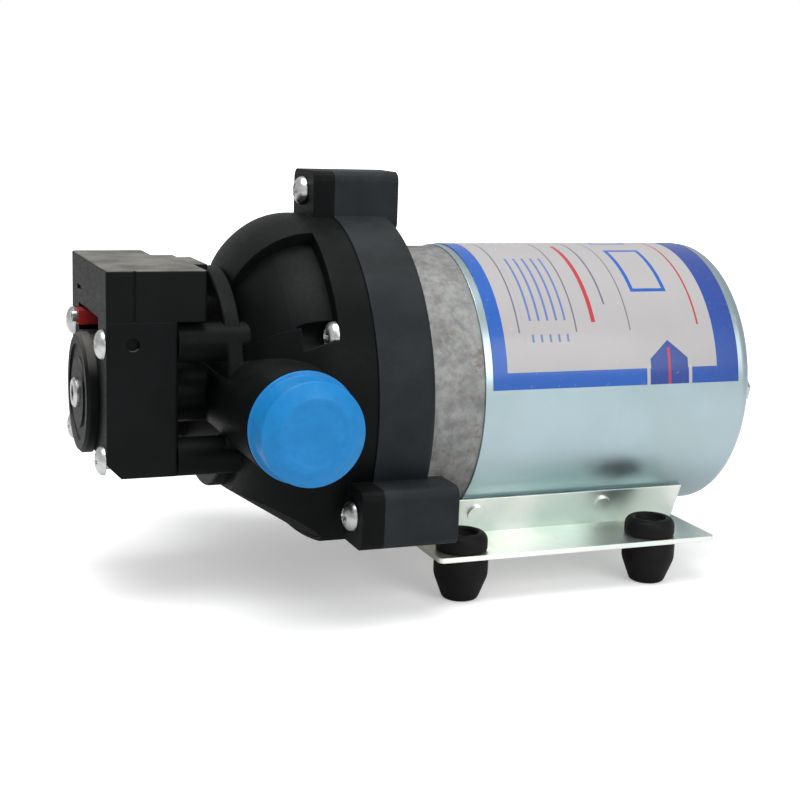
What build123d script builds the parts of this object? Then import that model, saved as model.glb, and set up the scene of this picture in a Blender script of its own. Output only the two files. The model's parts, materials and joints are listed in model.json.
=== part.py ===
from build123d import *
import os
from math import cos, radians, sin, sqrt

# Caravan water pump, with its motor, diaphragm head, pressure switch and rubber-footed base.
#
# The pump lies along X, with the switch towards -X and the motor towards +X, and -Y is the
# side with the near port. Z is up, and z = 0 is the floor under the feet. The origin is the
# centre of the four feet. Sizes are millimetres.

# Gaps between pieces
overrun = 1.0
running_gap = 0.04
fit_gap = 0.05
slide_gap = 0.3
soft_gap = 0.3
screw_play = 0.2

# Screw heads
head_rounding = 1.1
slot_width = 1.0
slot_depth = 1.3

# Base: a plate on four feet, and a cradle that carries the motor
foot_spacing_x = 51.0
foot_spacing_y = 63.2
foot_radius = 6.5
foot_toe_radius = 4.2
foot_length = 10.7
foot_neck_radius = 4.7
foot_collar_radius = 6.2
foot_collar_height = 4.4
foot_rounding = 1.8
foot_bore_radius = 2.4
foot_washer_radius = 3.6
foot_washer_depth = 1.5
plate_sheet = 1.2
plate_front_x = -33.6
plate_rear_x = 40.7
plate_half_width = 38.0
plate_corner = 1.5
cradle_sheet = 1.05
cradle_rear_x = 39.0
cradle_half_width = 19.3
cradle_height = 9.6
cradle_bump_radius = 2.3
cradle_bump_height = 0.6
cradle_bump_x = (-17.6, 17.0)
cradle_bump_up = 5.6

# Motor
can_radius = 34.0
can_wall = 1.6
can_front_x = -21.9
can_length = 72.9
can_corner = 3.0
can_boss_radius = 9.6
can_boss_length = 5.0
bell_radius = 33.6
bell_length = 15.7
bell_web = 4.0
bell_wall = 3.2
bell_spigot = 3.5
bell_seat_wall = 3.0
bell_lug_radius = 4.0
bell_lug_rear_x = -19.0
tie_bolt_circle = 27.3
tie_bolt_radius = 1.8
tie_bolt_head_radius = 3.4
tie_bolt_head_height = 2.2
magnet_thickness = 6.6
magnet_length = 42.0
magnet_front_x = -11.0
magnet_gap = 13.0
core_radius = 24.9
core_length = 30.0
core_front_x = -5.0
slot_count = 10
slot_circle = 19.5
slot_radius = 3.1
slot_mouth = 2.0
winding_outer = 23.0
winding_inner = 11.0
winding_length = 6.5
commutator_radius = 10.0
commutator_length = 9.5
commutator_front_x = 32.4
commutator_bars = 20
commutator_slit = 0.5
commutator_slit_depth = 0.8
shaft_radius = 4.0
shaft_flat = 0.6
shaft_front_x = -48.5
bush_radius = 7.0
brush_card_sheet = 1.4
brush_card_x = 43.0
brush_width = 5.0
brush_thickness = 4.6
brush_length = 8.5
brush_box_wall = 0.8
brush_spring_length = 6.5
brush_spring_radius = 1.9
brush_spring_wall = 0.6
label_sheet = 0.15
label_front_x = -20.0
label_rear_x = 46.7
label_low_angle = 84.5
label_high_angle = -62.0
bearing_radius = 11.0
bearing_width = 7.0
bearing_ring = 2.2
bearing_balls = 7
bearing_lip = 1.0
bearing_lip_radius = 9.0
track_depth = 0.6

# Drive housing, between the motor and the head
housing_step = 0.4
housing_length = 13.6
housing_web = 2.6
housing_cavity_radius = 28.4
housing_opening_radius = 12.0
housing_rounding = 1.2
tower_width = 15.5
tower_rise = 9.9
tower_sink = 4.1
tower_rear_x = -35.2
lobe_rear_x = -33.5
tower_corner = 2.4
lobe_width = 13.0
lobe_height = 13.5
lobe_reach = 4.5
lobe_angle = 118.66
lobe_corner = 2.4
lobe_setback = 2.9
motor_screw_circle = 22.0
motor_screw_radius = 1.5
motor_screw_head = 2.8
motor_screw_length = 6.2

# Wobble drive
wobble_tilt = 2.5
wobble_behind_parting = -1.0
wobble_plate_radius = 25.0
wobble_plate_sheet = 1.5
wobble_plate_offset = 2.0
hub_tail_offset = 9.95
wobble_ring_wall = 2.8
wobble_bearing_bore = 7.0
wobble_bearing_radius = 14.0
wobble_bearing_width = 6.0
wobble_bearing_ring = 1.9
wobble_bearing_balls = 12
hub_tail_radius = 8.4
hub_tail_length = 4.0
set_screw_radius = 1.5
piston_circle = 17.5
piston_count = 3
piston_radius = 7.6
piston_thickness = 2.4
land_radius = 8.2
land_thickness = 2.2
land_clearing = 3.0
piston_screw_radius = 1.5
piston_screw_head = 3.0

# Pumping diaphragm and valves
chamber_land = 5.3
diaphragm_sheet = 1.3
diaphragm_rim = 2.0
valve_plate_thickness = 9.3
chamber_radius = 9.6
chamber_depth = 5.4
inlet_valve_circle = 21.0
inlet_valve_radius = 3.4
inlet_valve_sheet = 0.9
inlet_valve_stem = 1.3
inlet_hole_radius = 0.7
inlet_hole_count = 6
inlet_bulb_radius = 1.8
inlet_valve_bulb = 1.4
outlet_valve_radius = 11.6
outlet_valve_sheet = 1.1
outlet_valve_stem = 1.6
outlet_hole_circle = 9.4
outlet_hole_radius = 1.3
seal_inset = 3.6
seal_radius = 1.0

# Pump head
flange_land = 9.2
flange_thickness = 8.1
underside_radius = 130.0
underside_inset = 6.8
underside_rise = 11.5
underside_step = 0.5
dome_length = 18.2
dome_root_inset = 15.4
dome_middle_inset = 8.6
dome_shoulder_inset = 2.6
dome_middle_share = 0.165
dome_shoulder_share = 0.505
collar_radius = 26.2
collar_lift = 2.9
collar_thickness = 3.7
collar_rounding = 0.8
pocket_depth = 3.4
pocket_start_angle = 23.0
pocket_end_angle = 61.0
neck_length = 10.5
neck_half_width = 12.6
neck_half_height = 6.5
neck_bore_radius = 2.2
column_radius = 4.4
inlet_chamber_inner = 15.6
inlet_chamber_inset = 3.3
inlet_chamber_length = 8.0
outlet_chamber_radius = 13.0
outlet_chamber_length = 14.0
head_screw_radius = 2.0
head_screw_head = 3.4
head_screw_head_height = 2.5
head_screw_length = 17.0
head_screw_recess = 3.8
head_screw_recess_length = 8.0
inner_screw_inset = 3.3
inner_screw_angles = (63.5, -63.5)
tower_screw_drop = 5.0
lobe_screw_shift = 0.2

# Ports
port_x = -70.7
port_body_radius = 12.4
port_body_proud = 6.1
port_thread_radius = 10.45
port_thread_depth = 1.1
port_pitch = 1.81
thread_corner_angle = 45.0
port_thread_turns = 4
port_thread_length = 7.7
port_bore_radius = 6.0
port_tube_radius = 8.6
cap_wall = 0.6
cap_rim_radius = 12.3
cap_rim_width = 1.1
cap_seat_gap = 0.3
cap_length = 9.4
cap_face_radius = 8.6
cap_shoulder = 1.8
cap_floor = 1.2

# Pressure switch
block_half_width = 22.9
block_length = 15.9
block_low = 15.5
block_high = 19.3
block_corner = 3.2
block_edge = 0.8
cover_height = 11.3
cover_overhang = 6.4
cover_far_width = 11.0
cover_far_step = 5.2
cover_wall = 1.7
tongue_near_width = 7.0
tongue_far_width = 9.4
tongue_height = 8.0
tongue_step = 0.4
cover_mark_width = 6.0
cover_mark_height = 1.3
cover_mark_depth = 0.5
cover_mark_y = 11.7
cover_mark_up = 22.3
cover_seam_x = -101.7
cover_seam = 0.5
side_hole_x = -101.8
side_hole_up = 14.4
side_hole_radius = 1.5
side_hole_depth = 1.3
notch_half_width = 13.0
notch_low = 12.6
notch_length = 8.6
chamber_bore_radius = 9.0
switch_screw_y = 19.1
switch_screw_top = 14.1
switch_screw_low = 11.9
switch_screw_radius = 2.0
switch_screw_head = 3.4
switch_screw_head_height = 2.0
switch_screw_grip = 8.5
disc_radius = 14.0
disc_thickness = 2.7
disc_spigot = 2.0
disc_ring_inner = 8.2
disc_ring_outer = 11.4
disc_ring_depth = 0.5
disc_chamfer = 0.7
adjuster_radius = 3.5
adjuster_length = 6.2
adjuster_proud = 1.1
adjuster_socket = 3.6
adjuster_socket_depth = 2.4
cup_radius = 8.6
cup_sheet = 1.5
cup_boss_radius = 3.2
cup_boss_height = 1.4
switch_sheet = 1.2
switch_sheet_radius = 6.0
block_back = 1.6
plunger_radius = 8.6
plunger_foot_radius = 5.0
plunger_thickness = 2.0
plunger_boss_radius = 3.2
plunger_boss_height = 2.2
plunger_travel = 1.0
arm_half_width = 1.8
arm_thickness = 1.6
arm_top = 25.5
switch_spring_radius = 5.6
switch_spring_wire = 0.9
micro_half_width = 14.4
micro_depth = 6.9
button_reach = 1.4
micro_height = 8.6
button_radius = 1.2
button_up = 23.6
button_buried = 1.8
blade_half_width = 2.4
blade_sheet = 0.8
blade_y = 8.0
blade_drop = 2.2
blade_leg_inset = 1.2
blade_length = 5.8
sleeve_lead = 3.0
sleeve_length = 7.4
sleeve_wall = 0.35
terminal_half_width = 2.6
terminal_half_height = 1.35
barrel_gap = 0.2
barrel_radius = 1.35
barrel_wall = 0.4
barrel_length = 4.0

# Stations along the pump, worked out from the sizes above
plate_top_z = foot_length + plate_sheet
axis_height = plate_top_z + cradle_sheet + can_radius
can_rear_x = can_front_x + can_length
can_inner_radius = can_radius - can_wall
can_inner_rear_x = can_rear_x - can_wall
bell_front_x = can_front_x - bell_length
parting_x = bell_front_x - housing_length
flange_front_x = parting_x - flange_thickness
lobe_front_x = flange_front_x + lobe_setback
collar_rear_x = flange_front_x - dome_length
collar_front_x = collar_rear_x - collar_thickness
block_rear_x = collar_front_x - neck_length
block_front_x = block_rear_x - block_length
disc_front_x = block_front_x - disc_thickness
insert_front_x = parting_x - diaphragm_rim - valve_plate_thickness
wobble_centre_x = parting_x + wobble_behind_parting
bearing_front_x = bell_front_x + bearing_lip
bearing_rear_x = bearing_front_x + bearing_width
bore_end_x = block_rear_x - switch_sheet - block_back
plunger_front_x = bore_end_x - fit_gap - plunger_thickness
adjuster_front_x = disc_front_x - adjuster_proud
adjuster_rear_x = adjuster_front_x + adjuster_length
cup_front_x = adjuster_rear_x + fit_gap
wobble_seat_offset = wobble_plate_offset + wobble_plate_sheet
insert_radius = piston_circle + chamber_radius + chamber_land
seal_circle = insert_radius - seal_inset
inlet_chamber_outer = seal_circle - inlet_chamber_inset
flange_radius = insert_radius + flange_land
housing_radius = flange_radius + housing_step
underside_low = flange_radius - underside_inset
underside_collar_low = underside_low - underside_rise
dome_root_radius = flange_radius - dome_root_inset
dome_middle_radius = flange_radius - dome_middle_inset
dome_shoulder_radius = flange_radius - dome_shoulder_inset
inner_screw_circle = flange_radius - inner_screw_inset
port_body_reach = flange_radius + port_body_proud
screw_circle_points = [
    (-inner_screw_circle * sin(radians(a)), inner_screw_circle * cos(radians(a)))
    for a in inner_screw_angles
]
tower_height = housing_radius + tower_rise
tower_foot = housing_radius - tower_sink
lobe_y = (housing_radius + lobe_reach) * sin(radians(lobe_angle))
lobe_drop = -(housing_radius + lobe_reach) * cos(radians(lobe_angle))
lobe_screw_points = [
    (0, tower_height - tower_screw_drop),
    (-lobe_y - lobe_screw_shift, -lobe_drop),
    (lobe_y + lobe_screw_shift, -lobe_drop),
]
port_reach = port_body_reach + port_thread_length
cap_start_y = port_body_reach + cap_seat_gap
blade_leg_x = block_front_x + notch_length - blade_leg_inset
blade_front_x = blade_leg_x - blade_length
barrel_rear_x = blade_front_x - barrel_gap
sleeve_front_x = blade_front_x - sleeve_lead
switch_screw_points = [
    (y * switch_screw_y, up) for y in (-1, 1) for up in (-switch_screw_low, switch_screw_top)
]
foot_points = [
    (x * foot_spacing_x / 2, y * foot_spacing_y / 2) for x in (-1, 1) for y in (-1, 1)
]
tie_bolt_points = [(-tie_bolt_circle, 0), (tie_bolt_circle, 0)]
motor_screw_points = [(0, -motor_screw_circle), (0, motor_screw_circle)]


def ring_points(circle, count=piston_count, first=0):
    """Points (y, up) round the pump's axis, the first one at an angle from the top."""
    angles = [first + turn * 360 / count for turn in range(count)]
    return [(-circle * sin(radians(a)), circle * cos(radians(a))) for a in angles]


piston_points = ring_points(piston_circle)
inlet_valve_points = ring_points(inlet_valve_circle)
outlet_hole_points = ring_points(outlet_hole_circle)

pump_axis = Axis((0, 0, axis_height), (1, 0, 0))
on_end = (Align.CENTER, Align.CENTER, Align.MIN)
from_low_corner = (Align.MIN, Align.MIN, Align.MIN)
wobble_plane = Plane(
    origin=(wobble_centre_x, 0, axis_height),
    x_dir=(0, 1, 0),
    z_dir=(cos(radians(wobble_tilt)), 0, sin(radians(wobble_tilt))),
)


def station(x, y=0, up=0):
    """A plane square to the pump's axis. Its own x runs along +Y and its own y along +Z."""
    return Plane(origin=(x, y, axis_height + up), x_dir=(0, 1, 0), z_dir=(1, 0, 0))


def bar(x0, x1, radius, y=0, up=0, mode=Mode.ADD):
    """A round bar or hole along X, from x0 to x1, in the part being built."""
    with Locations(station(x0, y, up)):
        Cylinder(radius, x1 - x0, align=on_end, mode=mode)


def hole(x0, x1, radius, y=0, up=0):
    bar(x0, x1, radius, y, up, Mode.SUBTRACT)


def tilted_bar(start, end, radius, y=0, up=0, mode=Mode.ADD):
    """A round bar or hole along the wobble axis, between two distances from its centre."""
    with Locations(wobble_plane.offset(start)):
        with Locations((y, up)):
            Cylinder(radius, end - start, align=on_end, mode=mode)


def tilted_hole(start, end, radius, y=0, up=0):
    tilted_bar(start, end, radius, y, up, Mode.SUBTRACT)


def block(x0, x1, y0, y1, low, high, mode=Mode.ADD):
    """A box between two stations, two widths and two heights above the pump's axis."""
    with Locations((x0, y0, axis_height + low)):
        Box(x1 - x0, y1 - y0, high - low, align=from_low_corner, mode=mode)


def cut(x0, x1, y0, y1, low, high):
    block(x0, x1, y0, y1, low, high, Mode.SUBTRACT)


def port_plane(side, reach):
    """A plane square to the port on one side, facing outwards."""
    return Plane(
        origin=(port_x, side * reach, axis_height), x_dir=(1, 0, 0), z_dir=(0, side, 0)
    )


def spoke(angle):
    """A plane through the pump's axis. Its own x runs along +X and its own y away from the axis."""
    lean = radians(angle)
    return Plane(origin=(0, 0, axis_height), x_dir=(1, 0, 0), z_dir=(0, -cos(lean), -sin(lean)))


def rim_edges(piece, front_x):
    """The round edges of the screw heads whose fronts lie at one station."""
    circles = piece.edges().filter_by(GeomType.CIRCLE)
    return circles.filter_by(lambda edge: abs(edge.arc_center.X - front_x) < fit_gap)


def cross_slot(face_x, head, y, up):
    """A cross recess in a screw head."""
    with Locations(station(face_x, y, up)):
        Box(slot_width, head, 2 * slot_depth, mode=Mode.SUBTRACT)
        Box(head, slot_width, 2 * slot_depth, mode=Mode.SUBTRACT)


def save(piece, label):
    piece.part.label = label
    export_step(piece.part, f"parts/{label}.step")
    print(f"{label}: {len(piece.part.solids())} solids, {piece.part.volume:.0f} mm3")


os.makedirs("parts", exist_ok=True)

# Base plate
with BuildPart() as base_plate:
    with BuildSketch(Plane.XY.offset(foot_length)):
        with Locations(((plate_front_x + plate_rear_x) / 2, 0)):
            RectangleRounded(plate_rear_x - plate_front_x, 2 * plate_half_width, plate_corner)
        with Locations(*foot_points):
            Circle(foot_neck_radius + fit_gap, mode=Mode.SUBTRACT)
    extrude(amount=plate_sheet)
save(base_plate, "base_plate")

# Motor cradle: a folded channel whose flanges lean out to touch the can along their top edges
cradle_low = -can_radius
cradle_top = cradle_low - cradle_sheet + cradle_height
cradle_top_y = sqrt(can_radius**2 - cradle_top**2) + fit_gap
with BuildPart() as motor_cradle:
    with BuildSketch(station(plate_front_x)):
        with BuildLine():
            Polyline(
                (0, cradle_low - cradle_sheet),
                (cradle_half_width, cradle_low - cradle_sheet),
                (cradle_top_y + cradle_sheet, cradle_top),
                (cradle_top_y, cradle_top),
                (cradle_half_width - cradle_sheet, cradle_low),
                (0, cradle_low),
                close=True,
            )
        make_face()
        mirror(about=Plane.YZ)
    extrude(amount=cradle_rear_x - plate_front_x)
    lean = Vector(cradle_top_y + cradle_sheet - cradle_half_width, cradle_height).normalized()
    for side in (-1, 1):
        for bump_x in cradle_bump_x:
            face_point = (
                bump_x,
                side * (cradle_half_width + lean.X / lean.Y * cradle_bump_up),
                plate_top_z + cradle_bump_up,
            )
            outward = (0, side * lean.Y, -lean.X)
            with Locations(Plane(origin=face_point, x_dir=(1, 0, 0), z_dir=outward)):
                Cylinder(cradle_bump_radius, 2 * cradle_bump_height)
save(motor_cradle, "motor_cradle")

# Rubber feet: a tapered body under the plate, a neck in its hole and a collar above it
with BuildPart() as rubber_feet:
    with BuildSketch(Plane.XZ):
        with BuildLine():
            Polyline(
                (0, 0),
                (foot_toe_radius, 0),
                (foot_radius, foot_length - foot_collar_height),
                (foot_radius, foot_length),
                (foot_neck_radius, foot_length),
                (foot_neck_radius, plate_top_z),
                (foot_collar_radius, plate_top_z),
                (foot_collar_radius, plate_top_z + foot_collar_height),
                (0, plate_top_z + foot_collar_height),
                close=True,
            )
        make_face()
    revolve(axis=Axis.Z)
    fillet(rubber_feet.edges().group_by(Axis.Z)[-1], foot_rounding)
    with Locations(Plane.XY.offset(plate_top_z + foot_collar_height)):
        CounterBoreHole(foot_bore_radius, foot_washer_radius, foot_washer_depth)
one_foot = rubber_feet.part
with BuildPart() as rubber_feet:
    with Locations(*foot_points):
        add(one_foot)
save(rubber_feet, "rubber_feet")

# Motor can
with BuildPart() as motor_can:
    bar(can_front_x, can_rear_x, can_radius)
    fillet(motor_can.edges().filter_by(GeomType.CIRCLE).sort_by(Axis.X)[-1], can_corner)
    hole(can_front_x - overrun, can_inner_rear_x, can_inner_radius)
    bar(can_inner_rear_x - can_boss_length, can_inner_rear_x, can_boss_radius)
    hole(can_inner_rear_x - can_boss_length - overrun, can_inner_rear_x, bush_radius + fit_gap)
    for y, up in tie_bolt_points:
        hole(can_inner_rear_x - overrun, can_rear_x + overrun, tie_bolt_radius + screw_play, y, up)
save(motor_can, "motor_can")

# Label: a thin sleeve on the can's near and upper side
with BuildPart() as label:
    with BuildSketch(spoke(label_high_angle)):
        label_middle = ((label_front_x + label_rear_x) / 2, can_radius + running_gap + label_sheet / 2)
        with Locations(label_middle):
            Rectangle(label_rear_x - label_front_x, label_sheet)
    revolve(axis=pump_axis, revolution_arc=label_low_angle - label_high_angle)
save(label, "label")

# Front bell: the cast end of the motor, with its bearing seat and the lugs for the tie bolts
with BuildPart() as motor_front_bell:
    bar(bell_front_x, can_front_x, bell_radius)
    bar(can_front_x, can_front_x + bell_spigot, can_inner_radius - fit_gap)
    hole(bell_front_x + bell_web, can_front_x + bell_spigot + overrun, bell_radius - bell_wall)
    bar(bell_front_x, bearing_rear_x, bearing_radius + bell_seat_wall)
    for y, up in tie_bolt_points:
        bar(bell_front_x + bell_web, bell_lug_rear_x, bell_lug_radius, y, up)
        hole(bell_front_x + bell_web, bell_lug_rear_x + overrun, tie_bolt_radius + fit_gap, y, up)
    hole(bearing_front_x, bearing_rear_x + overrun, bearing_radius + fit_gap)
    hole(bell_front_x - overrun, bearing_front_x + overrun, bearing_lip_radius)
    for y, up in motor_screw_points:
        hole(
            bell_front_x - overrun, bell_front_x + bell_web + overrun,
            motor_screw_radius + fit_gap, y, up,
        )
save(motor_front_bell, "motor_front_bell")

# Tie bolts through the can into the bell
with BuildPart() as tie_bolts:
    for y, up in tie_bolt_points:
        bar(bell_front_x + bell_web + slide_gap, can_rear_x, tie_bolt_radius, y, up)
        bar(can_rear_x, can_rear_x + tie_bolt_head_height, tie_bolt_head_radius, y, up)
save(tie_bolts, "tie_bolts")

# Magnets: two arcs inside the can, above and below the armature
with BuildPart() as magnets:
    with BuildSketch(station(magnet_front_x)):
        Circle(can_inner_radius - fit_gap)
        Circle(can_inner_radius - magnet_thickness, mode=Mode.SUBTRACT)
        Rectangle(2 * can_radius, magnet_gap, mode=Mode.SUBTRACT)
    extrude(amount=magnet_length)
save(magnets, "magnets")

# Armature core with its slots
with BuildPart() as armature_core:
    with BuildSketch(station(core_front_x)):
        Circle(core_radius)
        Circle(shaft_radius + fit_gap, mode=Mode.SUBTRACT)
        with PolarLocations(slot_circle, slot_count):
            Circle(slot_radius, mode=Mode.SUBTRACT)
        with PolarLocations((slot_circle + core_radius) / 2 + overrun, slot_count):
            Rectangle(core_radius - slot_circle, slot_mouth, mode=Mode.SUBTRACT)
    extrude(amount=core_length)
save(armature_core, "armature_core")

# Windings: a bundle in each slot, joined by the end turns in front of and behind the core
core_rear_x = core_front_x + core_length
with BuildPart() as windings:
    for start in (core_front_x - winding_length, core_rear_x):
        with BuildSketch(station(start)):
            Circle(winding_outer)
            Circle(winding_inner, mode=Mode.SUBTRACT)
        extrude(amount=winding_length)
    with BuildSketch(station(core_front_x)):
        with PolarLocations(slot_circle, slot_count):
            Circle(slot_radius - fit_gap)
    extrude(amount=core_length)
save(windings, "windings")

# Commutator: bars parted by slits
with BuildPart() as commutator:
    with BuildSketch(station(commutator_front_x)):
        Circle(commutator_radius)
        Circle(shaft_radius + fit_gap, mode=Mode.SUBTRACT)
        with PolarLocations(commutator_radius, commutator_bars):
            Rectangle(2 * commutator_slit_depth, commutator_slit, mode=Mode.SUBTRACT)
    extrude(amount=commutator_length)
save(commutator, "commutator")

# Shaft, with a flat for the hub's set screw
hub_tail_x = wobble_centre_x + hub_tail_offset
with BuildPart() as motor_shaft:
    bar(shaft_front_x, can_inner_rear_x - slide_gap, shaft_radius)
    cut(
        shaft_front_x - overrun,
        hub_tail_x + hub_tail_length,
        -shaft_radius,
        shaft_radius,
        shaft_radius - shaft_flat,
        shaft_radius + overrun,
    )
save(motor_shaft, "motor_shaft")

# Rear bush in the can's boss
with BuildPart() as rear_bush:
    bar(can_inner_rear_x - can_boss_length, can_inner_rear_x, bush_radius)
    hole(
        can_inner_rear_x - can_boss_length - overrun, can_inner_rear_x + overrun,
        shaft_radius + running_gap,
    )
save(rear_bush, "rear_bush")

# Ball bearings: the front one on the motor shaft, the other inside the wobble plate
bearings = {
    "front_bearing": (
        station(bearing_front_x), shaft_radius, bearing_radius,
        bearing_width, bearing_ring, bearing_balls,
    ),
    "wobble_bearing": (
        wobble_plane.offset(wobble_seat_offset), wobble_bearing_bore, wobble_bearing_radius,
        wobble_bearing_width, wobble_bearing_ring, wobble_bearing_balls,
    ),
}
for name, (plane, bore, outside, width, ring, count) in bearings.items():
    track = (bore + outside) / 2
    ball_radius = (outside - bore) / 2 - ring + track_depth
    with BuildPart(plane) as outer_race:
        Cylinder(outside, width, align=on_end)
        Cylinder(outside - ring, width, align=on_end, mode=Mode.SUBTRACT)
        with Locations((0, 0, width / 2)):
            Torus(track, ball_radius + running_gap, mode=Mode.SUBTRACT)
    save(outer_race, f"{name}_outer")
    with BuildPart(plane) as inner_race:
        Cylinder(bore + ring, width, align=on_end)
        Cylinder(bore + fit_gap, width, align=on_end, mode=Mode.SUBTRACT)
        with Locations((0, 0, width / 2)):
            Torus(track, ball_radius + running_gap, mode=Mode.SUBTRACT)
    save(inner_race, f"{name}_inner")
    with BuildPart(plane) as balls:
        with Locations((0, 0, width / 2)):
            with PolarLocations(track, count):
                Sphere(ball_radius)
    save(balls, f"{name}_balls")

# Brush card behind the commutator, with a box for each brush
brush_rear_x = brush_card_x
brush_front_x = brush_rear_x - brush_length
brush_low = commutator_radius + running_gap
box_reach = brush_low + brush_thickness + brush_spring_length
card_radius = can_inner_radius - fit_gap
with BuildPart() as brush_card:
    bar(brush_card_x, brush_card_x + brush_card_sheet, card_radius)
    hole(brush_card_x - overrun, brush_card_x + brush_card_sheet + overrun, can_boss_radius + slide_gap)
    for side in (-1, 1):
        ends = sorted((side * (commutator_radius + overrun), side * (box_reach + brush_box_wall)))
        block(
            brush_front_x - brush_box_wall, brush_card_x,
            -brush_width / 2 - brush_box_wall, brush_width / 2 + brush_box_wall, *ends,
        )
        ends = sorted((side * commutator_radius, side * box_reach))
        cut(
            brush_front_x - fit_gap, brush_rear_x,
            -brush_width / 2 - fit_gap, brush_width / 2 + fit_gap, *ends,
        )
    for y, up in tie_bolt_points:
        hole(
            brush_card_x - overrun, brush_card_x + brush_card_sheet + overrun,
            tie_bolt_radius + screw_play, y, up,
        )
save(brush_card, "brush_card")

# Brushes on the commutator, each with its spring behind it
with BuildPart() as brushes:
    for side in (-1, 1):
        ends = sorted((side * brush_low, side * (brush_low + brush_thickness)))
        block(brush_front_x, brush_rear_x - fit_gap, -brush_width / 2, brush_width / 2, *ends)
    hole(brush_front_x - overrun, brush_rear_x + overrun, commutator_radius + running_gap)
save(brushes, "brushes")

with BuildPart() as brush_springs:
    for side in (-1, 1):
        foot = side * (brush_low + brush_thickness + fit_gap)
        middle = (brush_front_x + brush_rear_x) / 2
        coil_plane = Plane(origin=(middle, 0, axis_height + foot), x_dir=(1, 0, 0), z_dir=(0, 0, side))
        with Locations(coil_plane):
            Cylinder(brush_spring_radius, brush_spring_length - 3 * fit_gap, align=on_end)
            Cylinder(
                brush_spring_radius - brush_spring_wall, brush_spring_length - 3 * fit_gap,
                align=on_end, mode=Mode.SUBTRACT,
            )
save(brush_springs, "brush_springs")

# Drive housing: the shell between the motor and the head, with the tower and two screw lobes.
# Its underside, and the head's, is a shallow curve that joins the lobes.
with BuildPart() as drive_housing:
    bar(parting_x, bell_front_x, housing_radius)
    fillet(drive_housing.edges().filter_by(GeomType.CIRCLE).sort_by(Axis.X)[-1], housing_rounding)
    with BuildSketch(station(parting_x)):
        with Locations((0, -underside_low)):
            Rectangle(2 * housing_radius, 2 * underside_low)
        with Locations((0, underside_radius - underside_low)):
            Circle(underside_radius, mode=Mode.SUBTRACT)
    extrude(amount=housing_length, mode=Mode.SUBTRACT)
    with BuildSketch(station(parting_x)):
        with Locations((0, (tower_height + tower_foot) / 2)):
            RectangleRounded(tower_width, tower_height - tower_foot, tower_corner)
    extrude(amount=tower_rear_x - parting_x)
    with BuildSketch(station(parting_x)):
        with Locations((-lobe_y, -lobe_drop), (lobe_y, -lobe_drop)):
            RectangleRounded(lobe_width, lobe_height, lobe_corner)
    extrude(amount=lobe_rear_x - parting_x)
    hole(parting_x - overrun, bell_front_x - housing_web, housing_cavity_radius)
    hole(parting_x, bell_front_x + overrun, housing_opening_radius)
    for y, up in screw_circle_points:
        hole(
            parting_x - overrun, flange_front_x + head_screw_length + overrun,
            head_screw_radius + fit_gap, y, up,
        )
    for y, up in lobe_screw_points:
        hole(
            parting_x - overrun, lobe_front_x + head_screw_length + overrun,
            head_screw_radius + fit_gap, y, up,
        )
    for y, up in motor_screw_points:
        with Locations(station(bell_front_x - housing_web, y, up)):
            Cylinder(
                motor_screw_radius + screw_play, housing_web + overrun, align=on_end, mode=Mode.SUBTRACT
            )
            Cone(
                motor_screw_head + fit_gap, motor_screw_radius + fit_gap,
                motor_screw_head - motor_screw_radius, align=on_end, mode=Mode.SUBTRACT,
            )
save(drive_housing, "drive_housing")

# Screws that hold the motor to the drive housing, from inside it
with BuildPart() as motor_screws:
    for y, up in motor_screw_points:
        with Locations(station(bell_front_x - housing_web, y, up)):
            Cone(
                motor_screw_head, motor_screw_radius,
                motor_screw_head - motor_screw_radius, align=on_end,
            )
            Cylinder(motor_screw_radius, motor_screw_length, align=on_end)
save(motor_screws, "motor_screws")

# Cam hub: its seat is tilted, so that the plate on it wobbles as the shaft turns
with BuildPart() as cam_hub:
    tilted_bar(wobble_seat_offset, hub_tail_offset + overrun, wobble_bearing_bore - fit_gap)
    bar(hub_tail_x, hub_tail_x + hub_tail_length, hub_tail_radius)
    hole(
        shaft_front_x - hub_tail_length, hub_tail_x + hub_tail_length + overrun,
        shaft_radius + fit_gap,
    )
    with Locations(Plane.XY.offset(axis_height)):
        with Locations((hub_tail_x + hub_tail_length / 2, 0)):
            Cylinder(
                set_screw_radius + fit_gap, hub_tail_radius + overrun, align=on_end, mode=Mode.SUBTRACT
            )
save(cam_hub, "cam_hub")

with BuildPart() as cam_set_screw:
    with Locations(Plane.XY.offset(axis_height + shaft_radius - shaft_flat + fit_gap)):
        with Locations((hub_tail_x + hub_tail_length / 2, 0)):
            Cylinder(
                set_screw_radius, hub_tail_radius - shaft_radius, align=on_end
            )
save(cam_set_screw, "cam_set_screw")

# Wobble plate: a ring round the bearing, with a pad behind each piston
wobble_end = wobble_seat_offset + wobble_bearing_width
with BuildPart() as wobble_plate:
    tilted_bar(wobble_plate_offset, wobble_seat_offset, wobble_plate_radius)
    tilted_bar(wobble_seat_offset, wobble_end, wobble_bearing_radius + wobble_ring_wall)
    tilted_hole(wobble_seat_offset, wobble_end + overrun, wobble_bearing_radius + fit_gap)
    tilted_hole(
        wobble_seat_offset - wobble_plate_sheet / 2, wobble_seat_offset,
        wobble_bearing_radius - wobble_bearing_ring,
    )
    for y, up in piston_points:
        tilted_bar(land_thickness / 2, wobble_plate_offset, piston_radius, y, up)
        tilted_hole(0, wobble_seat_offset - fit_gap, piston_screw_radius + fit_gap, y, up)
save(wobble_plate, "wobble_plate")

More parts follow.
